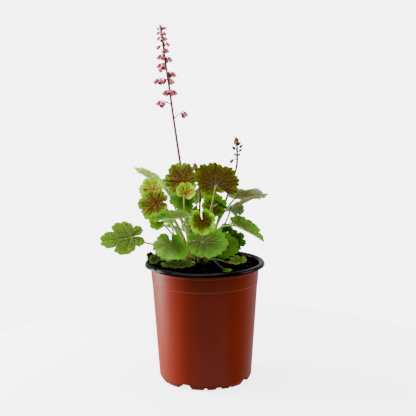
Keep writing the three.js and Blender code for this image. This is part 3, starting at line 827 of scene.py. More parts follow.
# painted shade: a darker copy of the leaf stalk, for a stalk low at the front in the shade
SHADED_STALK = SoftTissue("heuchera_shaded_leaf_stalk", "#1e1c0e", "#2c3614", "#36421c", turn=(0.0, 0.6))
DOWN = SoftTissue("plant_down", "#98a468", "#a4ac74", "#b0b488", roughness=0.7, depth=0.3)


# ---------------------------------------------------------------- pot


@dataclass
class Pot:
    """A thermoformed nursery pot: terracotta outside, black inside and over its rolled lip.

    Its wall tapers evenly from the lip to a chamfer over the foot ring, and two shallow bands
    step in under the lip. Drain notches are pressed up into the foot ring in every quarter.
    """

    height: float = 165.0
    rim_radius: float = 82.5
    lip_drop: float = 4.6
    lip_chamfer: float = 2.4
    lip_ledge: float = 1.6
    wall: float = 1.2
    band_heights: Span = (158.5, 137.0)
    # heights of the painted highlight rings; the upper one lies below its band step, under the lip
    highlight_rings: Span = (155.6, 137.3)
    radius_at_lip: float = 75.4
    radius_at_chamfer: float = 64.0
    band_step: float = 0.5
    chamfer_height: float = 6.0
    foot_outer: float = 60.5
    foot_inner: float = 51.0
    foot_flare: float = 3.0
    floor_rise: float = 4.0
    pad_radius: float = 14.0
    notches: tuple[Point, ...] = (
        (-28, 21, 7), (0, 4, 2.6), (17, 9, 2.6), (34, 4, 2.6)
    )
    sides: int = 480

    BEND_POINTS = 5

    def body_at(self, z: float) -> float:
        """The wall's outer radius at a height, without the bands."""
        foot, span = self.radius_at_chamfer, self.height - self.chamfer_height
        return foot + (self.radius_at_lip - 2 * self.band_step - foot) * ((z - self.chamfer_height) / span)

    def half_section(self) -> tuple[Array, Array]:
        """Works out the half section.

        Returns:
            [radius, height, rounding] rows, outside and inside.
        """
        under = self.height - self.lip_drop
        low, high = self.band_heights[1], self.band_heights[0]
        step, wall, rim = self.band_step, self.wall, self.rim_radius
        outside = [
            (0, 0, 0), (self.pad_radius, 0, 0.8),
            (self.pad_radius + self.foot_flare, self.floor_rise, 0.8),
            (self.foot_inner - self.foot_flare, self.floor_rise, 0.8), (self.foot_inner, 0, 0.6),
            (self.foot_outer, 0, 0.9), (self.body_at(self.chamfer_height), self.chamfer_height, 2.2),
            (self.body_at(70), 70, 0.2), (self.body_at(low), low, 0.25),
            (self.body_at(low) + step, low + step, 0.25),
            (self.body_at(high) + step, high, 0.25),
            (self.body_at(high) + 2 * step, high + step, 0.25),
            (self.radius_at_lip, under + self.lip_ledge, 0.5),
            (rim - wall, under + self.lip_ledge, 0.3), (rim - wall, under, 0.3), (rim, under, 0.5),
        ]
        inside = [
            (rim, self.height - self.lip_chamfer, 1.1), (rim - self.lip_chamfer, self.height, 1.1),
            (self.radius_at_lip + 0.8, self.height - 0.4, 0.9),
            (self.radius_at_lip - wall, self.height - 2, 0.9),
            (self.body_at(self.chamfer_height) - wall, self.chamfer_height + wall, 1.2),
            (self.foot_outer - wall, wall, 0.6), (self.foot_inner + wall, wall, 0.4),
            (self.foot_inner - self.foot_flare + wall, self.floor_rise + wall, 0.4),
            (self.pad_radius + self.foot_flare - wall, self.floor_rise + wall, 0.4),
            (self.pad_radius - wall, wall, 0.4), (0, wall, 0),
        ]
        return np.array(outside, float), np.array(inside, float)

    @staticmethod
    def rounded(section: Array) -> Array:
        """Rounds a section's corners: each becomes a parabola that starts and ends its rounding away.

        Args:
            section: [radius, height, rounding] rows.

        Returns:
            [radius, height] points, BEND_POINTS for each corner and one for each end.
        """
        corner, cut = section[1:-1, :2], section[1:-1, 2:]
        before = corner + unit(section[:-2, :2] - corner) * cut
        after = corner + unit(section[2:, :2] - corner) * cut
        t = np.linspace(0, 1, Pot.BEND_POINTS)[None, :, None]
        bends = (1 - t) ** 2 * before[:, None] + 2 * t * (1 - t) * corner[:, None] + t**2 * after[:, None]
        return np.concatenate([section[:1, :2], bends.reshape(-1, 2), section[-1:, :2]])

    def notched(self, points: Array, lift: float) -> Array:
        """Presses the drain notches up into the foot ring.

        A notch is as high as it is for three quarters of its width and slopes down to its ends.

        Args:
            points: Points of the shell.
            lift: How far above the notch these points keep.

        Returns:
            The points, raised where they lie on the foot ring under a notch.
        """
        radius = np.hypot(points[:, 0], points[:, 1])
        clock = np.degrees(np.arctan2(points[:, 0], -points[:, 1]))
        floor = np.zeros(len(points))
        for angle, width, height in self.notches:
            off = (clock - angle + 45) % 90 - 45
            run = np.abs(np.radians(off)) * self.foot_outer / (width / 2)
            floor = np.maximum(floor, height * np.clip((1 - run) / 0.25, 0, 1))
        ring = radius > self.foot_inner - self.foot_flare - self.wall
        raised = points.copy()
        raised[:, 2] = np.where(ring & (floor > 0), np.maximum(points[:, 2], floor + lift), points[:, 2])
        return raised

    def shell(self) -> Surface:
        """Turns the half section round, and presses the notches into it.

        Returns:
            The pot, its outside up to the lip in the first finish and the rest in the second.
        """
        outside, inside = self.half_section()
        profile = self.rounded(np.concatenate([outside, inside]))
        surface = revolved(profile, self.sides)
        (wall, _), (fans, _) = surface.patches
        split, turned = (self.BEND_POINTS * (len(outside) - corners) for corners in (4, 1))
        row = np.repeat(np.arange(len(profile) - 2), self.sides)
        inner = np.append(row >= turned, [False, True])
        row = row[: len(wall)]
        points = self.notched(surface.points, 0.0)
        points[inner] = self.notched(surface.points[inner], self.wall)
        patches = [
            (wall[row < split], 0), (fans[: self.sides], 0),
            (wall[row >= split], 1), (fans[self.sides :], 1),
        ]
        return Surface(points, patches)

    def build(self) -> None:
        """Makes the pot."""
        # its rings are painted highlights, not wear
        terracotta = MouldedPlastic(
            "moulded_polypropylene_terracotta", body="#8c2c12", shade="#82270e", roughness=0.34,
            gloss=0.18, rings=self.highlight_rings,
        )
        black = MouldedPlastic(
            "moulded_polypropylene_black", body="#020202", shade="#030304", roughness=0.12, gloss=0.08
        )
        finishes = [terracotta.material(), black.material()]
        make_piece("two_colour_pot", self.shell(), finishes, "pot", crease=50)


# ---------------------------------------------------------------- soil


@dataclass
class Soil:
    """The potting mix: a filled body with a crumbly top, and loose crumbs and chips on it."""

    pot: Pot
    clearance: float = 0.3
    level: float = 157.0
    heaps: tuple[tuple[float, float, float, float], ...] = (
        (-66, 22, 11, 13), (-11, 4, 6, 24), (-62, -12, 4, 16)
    )
    rings: int = 90
    sides: int = 240
    crumbs: int = 2300
    grit: int = 34
    spill: int = 110
    spill_reach: Span = (74.5, 80.0)
    spill_turn: Span = (168.5, 3.6)
    spill_rise: float = 10.0

    EDGE_GAP = 3.0
    SINK = 0.25
    DENTS = 0.22

    def height(self, x: Array, y: Array) -> Array:
        """Height of the top: its level, a few crossed waves, its heaps and a crumbly grain.

        Args:
            x: Places across.
            y: Places to the back.

        Returns:
            One height for each place.
        """
        waves = 0.8 * np.sin(0.31 * x + 1.3) * np.cos(0.27 * y) + 0.6 * np.sin(0.53 * x - 0.47 * y)
        waves = waves + 0.4 * np.cos(0.83 * y + 0.29 * x)
        heaped = sum(
            high * np.exp(-((x - hx) ** 2 + (y - hy) ** 2) / spread**2)
            for hx, hy, high, spread in self.heaps
        )
        flat = np.stack([x, y, np.zeros_like(x)], -1)
        grain = 0.55 * ripple(flat, 5.0, 11) + 0.35 * np.abs(ripple(flat, 2.2, 12))
        return self.level + waves + heaped + grain

    def body(self) -> Surface:
        """Fills the pot: the crumbly top, a straight wall and a flat underside.

        Returns:
            The filled body.
        """
        wall, clear = self.pot.wall, self.clearance
        top = self.pot.body_at(self.level) - wall - 2 * clear
        bottom = self.pot.body_at(self.pot.chamfer_height) - 2 * wall - 2 * clear
        floor = self.pot.floor_rise + wall + 2 * clear
        turn = turns(self.sides)
        cover = around(turn, np.linspace(top, top / self.rings, self.rings)[:, None], 0.0)
        cover[..., 2] = self.height(cover[..., 0], cover[..., 1])
        peak = self.height(np.zeros(1), np.zeros(1))[0]
        foot, poles = around(turn, bottom, floor), [[0, 0, floor], [0, 0, peak]]
        points = np.concatenate([foot, cover.reshape(-1, 3), poles])
        return Surface(points, closed(self.rings + 1, self.sides), {"tone": np.full(len(points), 0.2)})

    def scattered(
        self, count: int, sizes: Span, seed: int, spilt: bool = False
    ) -> Surface:
        """Irregular lumps that lie half sunk in the soil's top, or spilt on the pot's lip.

        Each is a twelve-pointed ball, dented at random and stretched along its own axes.

        Args:
            count: Number of lumps.
            sizes: Least and greatest radius, with small ones far commoner.
            seed: Number that places them.
            spilt: Whether they lie on the lip.

        Returns:
            All the lumps.
        """
        rng = np.random.default_rng(seed)
        golden = (1 + 5**0.5) / 2
        square = np.array([[-1, golden, 0], [1, golden, 0], [-1, -golden, 0], [1, -golden, 0]])
        ball = unit(np.concatenate([square, np.roll(square, 1, 1), np.roll(square, 2, 1)]))
        faces = np.array([
            [0, 11, 5], [0, 5, 1], [0, 1, 7], [0, 7, 10], [0, 10, 11], [1, 5, 9], [5, 11, 4],
            [11, 10, 2], [10, 7, 6], [7, 1, 8], [3, 9, 4], [3, 4, 2], [3, 2, 6], [3, 6, 8],
            [3, 8, 9], [4, 9, 5], [2, 4, 11], [6, 2, 10], [8, 6, 7], [9, 8, 1],
        ])
        if spilt:
            away = rng.uniform(*self.spill_reach, count)
            clock = np.radians(rng.normal(*self.spill_turn, count))
        else:
            edge = self.pot.body_at(self.level) - self.pot.wall - self.EDGE_GAP
            away, clock = edge * np.sqrt(rng.uniform(0, 1, count)), rng.uniform(0, 2 * np.pi, count)
        x, y = away * np.cos(clock), away * np.sin(clock)
        radius = sizes[0] + (sizes[1] - sizes[0]) * rng.uniform(0, 1, count) ** 3
        scales = radius[:, None] * rng.uniform(0.6, 1.25, (count, 3))
        if spilt:
            off = (np.degrees(clock) - self.spill_turn[0]) / (2 * self.spill_turn[1])
            rest = self.pot.height + self.spill_rise * rng.uniform(0, 1, count) * np.exp(-(off**2))
        else:
            rest = self.height(x, y)
        places = np.stack([x, y, rest + radius * self.SINK], -1)
        frames = aligned(rng.normal(size=(count, 3)))
        lumps = copies(Surface(ball, [(faces, 0)]), places, frames, scales)
        dents = 1 + self.DENTS * rng.normal(size=(count * len(ball), 1)).clip(-1.5, 1.5)
        middle = np.repeat(places, len(ball), 0)
        lumps.points = middle + (lumps.points - middle) * dents
        order = rng.permutation(count)
        lumps.values["tone"] = np.repeat(order / count, len(ball))
        return lumps

    def build(self) -> None:
        """Makes the soil, its crumbs and the pale grit on it."""
        peat = PottingMix("potting_peat_and_bark").material()
        pumice = PottingMix("potting_pumice", peat="#5a564e", bark="#7c776c", chip="#a8a498")
        bark = PottingMix("potting_damp_bark", peat="#2c1a12", bark="#4a3022", chip="#4a3826")
        make_piece("potting_soil", self.body(), [peat], "soil")
        crumbs = self.scattered(self.crumbs, (0.5, 2.3), 5)
        make_piece("soil_crumbs", crumbs, [peat], "", crease=40)
        grit = self.scattered(self.grit, (0.5, 1.2), 21)
        make_piece("soil_grit", grit, [pumice.material()], "", crease=40)
        spill = self.scattered(self.spill, (1.0, 2.4), 9, spilt=True)
        make_piece("spilt_crumbs", spill, [bark.material()], "", crease=40)


# ---------------------------------------------------------------- crown


@dataclass
class Crown:
    """The woody stock that every stalk and stem grows from, half sunk in the soil."""

    centre: Array = field(default_factory=lambda: np.array([-11.0, 4.0, 159.0]))
    radii: Array = field(default_factory=lambda: np.array([18.0, 14.0, 8.5]))
    root_gap: float = 4.4
    root_reach: float = 0.93
    root_depth: float = 0.8
    sheaths_each: int = 3
    sheath_depth: float = 0.93
    sheath_size: Point = (0.8, 0.35, 4.0)

    def spread_roots(self, targets: Array) -> Array:
        """Spreads the roots over the dome: each starts under its blade, and near pairs push apart.

        Args:
            targets: Where each stalk or stem goes.

        Returns:
            A direction of length one from the dome's middle for each root.
        """
        away = targets - self.centre
        flat = np.hypot(away[:, 0], away[:, 1])
        share = 0.25 + 0.7 * np.minimum(1, flat / away[:, 2])
        roots = [complex(x, y) for x, y in away[:, :2] * (share / np.maximum(flat, 1e-6))[:, None]]
        least = self.root_gap / min(self.radii[0], self.radii[1])
        for _ in range(200):
            for i in range(len(roots)):
                for j in range(i + 1, len(roots)):
                    apart = roots[j] - roots[i]
                    gap = abs(apart)
                    if gap < least:
                        push = apart / gap * (least - gap) / 2
                        roots[i] -= push
                        roots[j] += push
            roots = [root * min(1, self.root_reach / max(abs(root), 1e-9)) for root in roots]
        flat_roots = np.array([[root.real, root.imag] for root in roots])
        up = np.sqrt(1 - (flat_roots**2).sum(1))
        return np.column_stack([flat_roots, up])

    def root_points(self, roots: Array) -> Array:
        """Where the stalks' lines start, a little inside the dome's surface."""
        return roots * self.radii * self.root_depth + self.centre

    def dome(self) -> Surface:
        """Makes the dome, knobbly and ridged round where old stalks have fallen off.

        Returns:
            The dome.
        """
        angle = np.linspace(0, np.pi, 60)
        surface = revolved(np.stack([np.sin(angle), -np.cos(angle)], -1), 120)
        knobs = 1 + 0.035 * ripple(surface.points, 0.5, 3) + 0.02 * ripple(surface.points, 0.2, 4)
        surface.points = surface.points * knobs[:, None] * self.radii + self.centre
        surface.values["along"] = (surface.points[:, 2] - surface.points[:, 2].min()) / 17
        return surface

    def sheaths(self, roots: Array) -> Surface:
        """Brown papery sheaths round the stalks' feet, each a slim tongue that leans outwards.

        Args:
            roots: The directions from the crown's middle to the roots.

        Returns:
            All the sheaths.
        """
        rng = np.random.default_rng(8)
        foot = np.repeat(roots * self.radii * self.sheath_depth + self.centre, self.sheaths_each, 0)
        foot = foot + rng.normal(size=foot.shape) * [1.2, 1.2, 0.3]
        sheath = tongue(7, 0.7, 0.8)
        sheath.values["along"] = sheath.points[:, 2]
        lean = np.repeat(roots * [1.1, 1.1, 1.0], self.sheaths_each, 0) + rng.normal(size=foot.shape) * 0.25
        lean[:, 2] = np.abs(lean[:, 2]) + 0.4
        scales = rng.uniform(0.7, 1.3, (len(foot), 1)) * self.sheath_size
        return copies(sheath, foot, aligned(lean), scales)

    def build(self, roots: Array) -> None:
        """Makes the crown and the sheaths on it.

        Args:
            roots: The directions from the crown's middle to the roots.
        """
        bark = SoftTissue(
            "heuchera_woody_crown", "#080504", "#120c08", "#1c140e",
            roughness=0.85, depth=0.0,
        )
        # partly painted shade: the sheaths' own brown, darkened almost to black for the shade round the
        # crown
        husk = SoftTissue(
            "heuchera_dry_sheath", "#0a0704", "#241c10", "#181008",
            roughness=0.7, depth=0.1,
        )
        make_piece("woody_crown", self.dome(), [bark.material()], "crown")
        make_piece("dry_sheaths", self.sheaths(roots), [husk.material()], "")


# ---------------------------------------------------------------- leaves


@dataclass
class Leaf:
    """One leaf: a round lobed blade that fans out from the top of its stalk.

    The blade is worked out on a grid of place, which runs along the margin from -1 on one side of
    the gap at the stalk to 1 on the other, and share, which runs from the stalk to the margin.
    """

    name: str
    look: Look
    at: Point
    size: float
    faces: Span
    tip: float
    cup: float = 0.0
    fold: float = 0.0
    droop: float = 0.0
    ruffle: float = 0.0
    bow: Point = (0.0, 0.0, 0.0)
    lobes: int = 7
    scallops: int = 3
    sinus: float = 9.0
    taper: float = 0.16
    deep: float = 0.12
    stem: SoftTissue = STALK
    back: LeafSkin = UNDERSKIN

    CORNER_CUT = 0.22
    CREASE = 0.08
    SCALLOP_DEPTH = 0.065
    STEPS = 4
    RINGS = 24
    THICKNESS = 0.5
    CAD_THICKNESS = 0.9
    STALK_RADIUS = (1.25, 1.3)
    STALK_PULL = (0.4, 0.3)
    STALK_SHORT = 1.0
    GROOVE = 0.022
    SWELL = 0.016
    EDGE_WAVE = 0.013
    BUCKLE = 0.012
    RIB = 0.35
    GROOVE_WIDTH = 0.035
    RIB_WIDTH = 0.022
    THINNING = 0.65
    HAIR_SPACING = 0.5
    HAIR_LENGTH = 0.9
    STALK_POINTS = 44

    @property
    def seed(self) -> int:
        """A number of its own, from the letters of its name."""
        return sum(ord(letter) * (place + 1) for place, letter in enumerate(self.name))

    @property
    def open_half(self) -> float:
        """Half the angle that the blade goes round, in radians."""
        return math.pi - math.radians(self.sinus)

    @staticmethod
    def off_middle(place: Array, parts: int) -> Array:
        """Distance from the middle of the nearest of some equal parts of the margin, 0.5 at its ends."""
        return np.abs(((place + 1) * parts / 2) % 1 - 0.5)

    def axes(self) -> Array:
        """Works out its axes from where it faces and where its tip points.

        Returns:
            Rows along the midrib, across it and out of the upper face.
        """
        azimuth, elevation = np.radians(self.faces)
        clock = math.radians(self.tip)
        face = around(azimuth, math.cos(elevation), math.sin(elevation))
        uphill = around(azimuth, -math.sin(elevation), math.cos(elevation))
        along = uphill * math.cos(clock) + np.cross(uphill, face) * math.sin(clock)
        return np.stack([along, np.cross(face, along), face])

    def grid(self) -> tuple[Array, Array]:
        """Works out the blade's grid.

        Returns:
            Its shares, as a column, and its places, as a row.
        """
        steps = 2 * self.lobes * self.scallops * self.STEPS
        place = np.linspace(-1, 1, steps + 1)[None, :]
        share = (np.arange(1, self.RINGS + 1)[:, None] / self.RINGS) ** 0.85
        return share, place

    def reach(self, share: Array, place: Array) -> Array:
        """Distance from the stalk as a share of the leaf's size.

        A rounded outline is shorter towards the gap at the stalk. Its lobes are parted by cuts
        that fade out inwards, each lobe has scallops that meet in small notches, and the two
        corners beside the gap are rounded.

        Args:
            share: From the stalk, 0, to the margin, 1.
            place: Along the margin, from -1 to 1.

        Returns:
            One number for each point of the grid.
        """
        lobe = 1 - 2 * self.off_middle(place, self.lobes)
        scallop = 1 - 2 * self.off_middle(place, self.lobes * self.scallops)
        corner = np.maximum(0, (np.abs(place) - 1) * self.lobes + 1)
        outline = 1 - self.taper + self.taper * np.cos(place * self.open_half)
        cuts = (1 - self.deep * (1 - lobe) ** 3) * (1 - self.SCALLOP_DEPTH * (1 - scallop) ** 2)
        cuts = cuts * (1 - self.CORNER_CUT * corner**2)
        cuts = cuts * (1 + 0.018 * np.sin(place * 9.0 + self.seed) * np.sin(place * 4.3 + 2 * self.seed))
        return share * outline * (1 + (cuts - 1) * share**2.5)

    def veins(self, reach: Array, place: Array) -> tuple[Array, Array]:
        """Distance across to the nearest main vein and along it, as shares of the size."""
        angle = self.off_middle(place, self.lobes) * 2 * self.open_half / self.lobes
        return reach * np.sin(angle), reach * np.cos(angle)

    def lift(self, u: Array, v: Array, reach: Array, place: Array) -> Array:
        """Height of the upper face over its flat plane, in millimetres.

        The large form is a cup, a crease along the midrib, a droop and a wave over the lobes. On
        it, the main veins lie in grooves, the tissue between side veins swells, and the margin
        ripples once for every two scallops.

        Args:
            u: Distance along the midrib.
            v: Distance across it.
            reach: Distance from the stalk as a share of the leaf's size.
            place: Along the margin, from -1 to 1.

        Returns:
            One height for each point.
        """
        size, crease = self.size, self.CREASE * self.size
        form = self.cup * size * reach**2 + self.fold * (np.hypot(v, crease) - crease)
        form = form - self.droop * u * np.abs(u) / size
        form = form + self.ruffle * size * reach**2 * np.cos(math.pi * self.lobes * place)
        gap, run = self.veins(reach, place)
        groove = -self.GROOVE * size * np.exp(-((gap / self.GROOVE_WIDTH) ** 2)) * (1 - 0.6 * reach)
        swell = 0.5 - 0.5 * np.cos(2 * np.pi * (run - LeafSkin.SLANT * gap) / LeafSkin.SIDE_VEINS)
        swell = swell * np.clip(gap / 0.06, 0, 1) * np.clip((1.05 - reach) * 4, 0, 1)
        edge = np.sin(math.pi * self.lobes * self.scallops * place / 2 + self.seed)
        flat = np.stack([u, v, np.full_like(u, self.seed)], -1)
        buckle = self.BUCKLE * size * ripple(flat / size, 0.9, self.seed % 97) * reach
        return form + groove + self.SWELL * size * swell + self.EDGE_WAVE * size * edge * reach**5 + buckle

    def blade(self) -> Surface:
        """Lays the lifted grid out as an upper face, a lower face and an edge between them.

        Returns:
            The blade, its upper face and edge in the first finish and its lower face in the second.
        """
        share, place = self.grid()
        reach, angle = self.reach(share, place), place * self.open_half
        shares = np.broadcast_to(share, reach.shape)
        u, v = self.size * reach * np.cos(angle), self.size * reach * np.sin(angle)
        lift = self.lift(u, v, reach, place)
        gap, run = self.veins(reach, place)
        rows, columns = reach.shape
        centre = np.array([0, 0, self.lift(np.zeros(1), np.zeros(1), np.zeros(1), np.zeros(1))[0]])
        local = np.concatenate([[centre], np.stack([u, v, lift], -1).reshape(-1, 3)])
        thick = self.THICKNESS * (1 - self.THINNING * shares**4)
        rib = self.RIB * np.exp(-((gap / self.RIB_WIDTH) ** 2)) * (1 - 0.8 * share)
        under = local - np.append(self.THICKNESS, (thick + rib).ravel())[:, None] * [0, 0, 1]
        points = np.concatenate([local, under]) @ self.axes() + np.array(self.at)
        count = len(local)
        fan = np.arange(1, columns)
        fan = np.stack([np.zeros_like(fan), fan, fan + 1], -1)
        upper = lattice(rows, columns, False) + 1
        side = 1 + np.arange(rows) * columns
        rim = np.concatenate([[0], side, side[-1] + np.arange(1, columns), (side[:-1] + columns - 1)[::-1]])
        after = np.roll(rim, -1)
        edge = np.stack([rim, rim + count, after + count, after], -1)
        lobe_place = np.broadcast_to(place * self.lobes, reach.shape)
        values = {"gap": gap, "run": run, "reach": shares, "fan": lobe_place}
        values = {key: np.tile(np.append(0, value), 2) for key, value in values.items()}
        patches = [
            (upper, 0), (fan, 0), (edge, 0),
            (upper[:, ::-1] + count, 1), (fan[:, ::-1] + count, 1),
        ]
        return Surface(points, patches, values)

    def stalk_line(self, start: Array, root: Array) -> Array:
        """The stalk's cubic curve: out of the crown, bowed, and into the blade from below.

        Args:
            start: Where it starts in the crown.
            root: The direction from the crown's middle to there.

        Returns:
            Points along it.
        """
        along, _, face = self.axes()
        end = np.array(self.at) - face * self.CAD_THICKNESS * 0.6
        out = unit(np.array([root[0], root[1], 1.4]))
        arrive = unit(0.6 * along + 0.8 * face)
        span = float(np.linalg.norm(end - start))
        first = start + out * span * self.STALK_PULL[0] + self.bow
        second = end - arrive * span * self.STALK_PULL[1] + self.bow
        t = np.linspace(0, 1, self.STALK_POINTS)[:, None]
        return (1 - t) ** 3 * start + 3 * t * (1 - t) ** 2 * first + 3 * t**2 * (1 - t) * second + t**3 * end

    def stalk(self, start: Array, root: Array) -> Surface:
        """Makes the stalk, a little swollen at its foot and under the blade.

        Args:
            start: Where it starts in the crown.
            root: The direction from the crown's middle to there.

        Returns:
            The stalk and the hairs on it.
        """
        line = self.stalk_line(start, root)
        line[-1] -= unit(line[-1] - line[-2]) * self.STALK_SHORT
        t = np.linspace(0, 1, len(line))
        radii = np.interp(t, [0, 1], self.STALK_RADIUS)
        radii = radii * (1 + 0.35 * np.exp(-t / 0.06) + 0.2 * np.exp(-(1 - t) / 0.03))
        down = hairs(line[3:], radii[3:], self.HAIR_SPACING, self.HAIR_LENGTH, 3, self.seed)
        return joined([swept(line, radii, 10, 2), down])

    def build(self, start: Array, root: Array, finishes: dict[str, Material]) -> None:
        """Makes the leaf.

        Args:
            start: Where its stalk starts in the crown.
            root: The direction from the crown's middle to there.
            finishes: The materials by name.
        """
        worn = [finishes[key] for key in (self.look.name, self.back.name, self.stem.name, "down")]
        surface = joined([self.blade(), self.stalk(start, root)])
        make_piece(f"{self.name}_leaf", surface, worn, f"leaf_{self.name}", crease=50)


LEAVES = [
    Leaf("top_right", Look.BRONZE_DARK, (16, -16, 273), 36, (-72, 42), 10,
         fold=0.2, ruffle=0.03, sinus=43, taper=0.12, deep=0.07),
    Leaf("top_middle", Look.BRONZE, (-27.5, -8, 274), 30.5, (-97, 16), -34, ruffle=0.05, taper=0.27),
    Leaf("left_bronze", Look.BRONZE_VEINED, (-63, -26, 251), 27.5, (-105, 44), -97,
         ruffle=0.04, bow=(0, 5, 0), sinus=4, taper=0.2),
    Leaf("left_young", Look.YOUNG_RED, (-70, -6, 263), 21, (-105, 30), -35, cup=0.12, bow=(4, -8, 8)),
    Leaf("middle_young", Look.YOUNG_RED, (-25.5, -24, 262), 16.5, (-90, 36), 20,
         cup=0.2, fold=0.15, bow=(-2, -6, 0), sinus=34, taper=0.2),
    Leaf("far_left_tip", Look.YOUNG_PALE, (-73, 18, 279), 27, (42, 54), 28, fold=0.1, back=PALE_UNDERSKIN),
    Leaf("left_high", Look.GREEN_PALE, (-43, 36, 246), 35, (30, 32), 14,
         fold=0.2, bow=(5, 7, 9), taper=0.3, back=MID_UNDERSKIN),
    Leaf("right_inner", Look.BRONZE_GREEN, (12, 8.5, 236), 22.5, (-90, 35), 20,
         cup=0.1, bow=(0, 4, 0), taper=0.22),
    Leaf("right_high", Look.GREEN_TINTED, (47, 10, 255.5), 41, (90, 66), -90,
         droop=0.06, ruffle=0.05, bow=(-6, -4, 2), taper=0.3),
    Leaf("right_folded", Look.GREEN_TINTED, (35, 1, 236.5), 40, (149, 61), -34,
         fold=0.12, sinus=40, taper=0.45),
    Leaf("right_thin", Look.SHADED, (19.5, -1, 245), 13.5, (31, 50), -120, scallops=2,
         back=SHADED_UNDERSKIN),
    Leaf("right_pale", Look.GREEN_SILVERED, (46, 30, 229.5), 12, (-90, 25), 0, bow=(0, 6, 0), scallops=2),
    Leaf("right_long", Look.GREEN_TINTED, (44, -26, 218.5), 42, (-13, 61), 169,
         fold=0.3, droop=0.05, bow=(-12, -4, 14), sinus=14, taper=0.33),
    Leaf("right_shaded", Look.SHADED, (39, 22, 189.5), 20, (-85, 35), 110, deep=0.22),
    Leaf("right_shaded_high", Look.SHADED, (31, 26, 202), 12, (-85, 30), -20, bow=(-8, 0, 0), scallops=2),
    Leaf("front_right", Look.GREEN_VEINED, (-3.5, -48, 202), 36, (-90, 58), 97,
         cup=-0.06, ruffle=0.04, sinus=2.5, taper=0.2, deep=0.08),
    Leaf("front_middle", Look.BRONZE_EDGED, (-3, -58, 231), 19.5, (-88, 22), 172,
         cup=0.1, ruffle=0.06, bow=(-8, 4, 0), sinus=4, taper=0.05),
    Leaf("front_left", Look.GREEN, (-44, -50, 198), 25.5, (-68, 50), -170,
         fold=-0.35, ruffle=0.05, sinus=6, taper=0.03, deep=0.09),
    Leaf("far_left", Look.GREEN_BROAD, (-100, -10, 201), 43, (-95, 57), -102,
         lobes=5, scallops=4, sinus=5, taper=0.27, deep=0.3),
    Leaf("middle_edge", Look.GREEN_TINTED, (-31.5, -44, 233.5), 36, (-160, 84), -160,
         fold=0.25, bow=(-4, 4, 0), taper=0.3),
    Leaf("left_under", Look.YOUNG_PALE, (-65, -8, 237), 20, (-100, 35), -120, scallops=2),
    Leaf("left_lowest", Look.YOUNG_PALE, (-63, -14, 221.5), 12.5, (-95, 35), -130, scallops=2),
    Leaf("inner_left", Look.GREEN, (-36, 0, 251), 13, (-95, 30), -115, bow=(-4, 12, -8), scallops=2),
    Leaf("inner_middle", Look.GREEN, (-14, 32, 256), 20, (-90, 30), -150, scallops=2),
    Leaf("inner_right", Look.BRONZE_GREEN, (14, 30, 257), 21, (-85, 32), -60,
         bow=(6, 0, 0), scallops=2),
    Leaf("inner_centre", Look.GREEN_TINTED, (-16.5, 20.5, 233.5), 11, (-90, 30), -160,
         bow=(-3, -7, 3), scallops=2),
    Leaf("inner_low", Look.GREEN_TINTED, (-27, -8, 249), 16, (-90, 25), 180, scallops=2),
    Leaf("back_pale", Look.YOUNG_PALE, (-46, 22, 221), 13, (-90, 40), -78, bow=(-12, -12, 15), scallops=2),
    Leaf("left_hidden", Look.GREEN_TINTED, (-38, 30.5, 205), 20, (51, 63), 48,
         taper=0.3, scallops=2, back=MID_UNDERSKIN),
    Leaf("low_right", Look.GREEN_TINTED, (21, -22, 193), 27, (-80, 48), 128, ruffle=0.05),
    Leaf("inner_dark", Look.SHADED, (-23, 52, 205), 15, (-90, 40), 120, scallops=2),
    Leaf("soil_right", Look.GREEN_PALE, (42, -18, 168), 16, (-100, 76), 95,
         cup=0.2, ruffle=0.1, scallops=2),
    Leaf("soil_left", Look.DEEP_SHADE, (-66.8, -15, 171.8), 10.5, (-110, 45), -100, scallops=2),
    Leaf("soil_front", Look.GREEN_TINTED, (-47, -16, 177.5), 15, (-95, 60), -130, scallops=2),
    Leaf("rim_front", Look.DEEP_SHADE, (-35, -38, 167.6), 28, (90, 89), 160, cup=0.04),
    Leaf("rim_right", Look.SHADED, (28, -58, 165), 8, (-90, 86), 80,
         bow=(-3, -8, 22), scallops=2, stem=SHADED_STALK),
    Leaf("back_high", Look.BRONZE, (15, 46, 266), 25, (95, 30), 10,
         fold=0.1, ruffle=0.05, bow=(-4, 0, 0), scallops=2),
    Leaf("back_left", Look.GREEN_VEINED, (-46, 60, 178), 23, (130, 55), 150,
         ruffle=0.05, taper=0.1, scallops=2),
    Leaf("back_right", Look.GREEN, (26, 56, 184), 20, (60, 52), -20,
         cup=-0.06, ruffle=0.04, scallops=2),
    Leaf("back_middle", Look.BRONZE_EDGED, (-6, 64, 192), 19, (70, 50), 160, cup=-0.1, scallops=2),
]


# ---------------------------------------------------------------- flower spikes


@dataclass(frozen=True)
class Branch:
    """A branch of a spike: its height on the stem, azimuth, reach and rise, and what it bears.

    That is a number of nodding bells, or one upright bud, for which it has the bud's size.
    """

    height: float
    turn: float
    reach: float
    rise: float
    bells: int = 0
    bud: float = 0.0

    @property
    def out(self) -> Array:
        """The level direction in which it leaves the stem."""
        return around(math.radians(self.turn), 1.0, 0.0)

    @property
    def run(self) -> Array:
        """From its foot to its tip."""
        return self.out * self.reach + np.array([0, 0, self.rise])


@dataclass(frozen=True)
class Buds:
    """The buds packed round a spike's tip, between two heights."""

    low: float
    high: float
    count: int
    size: float


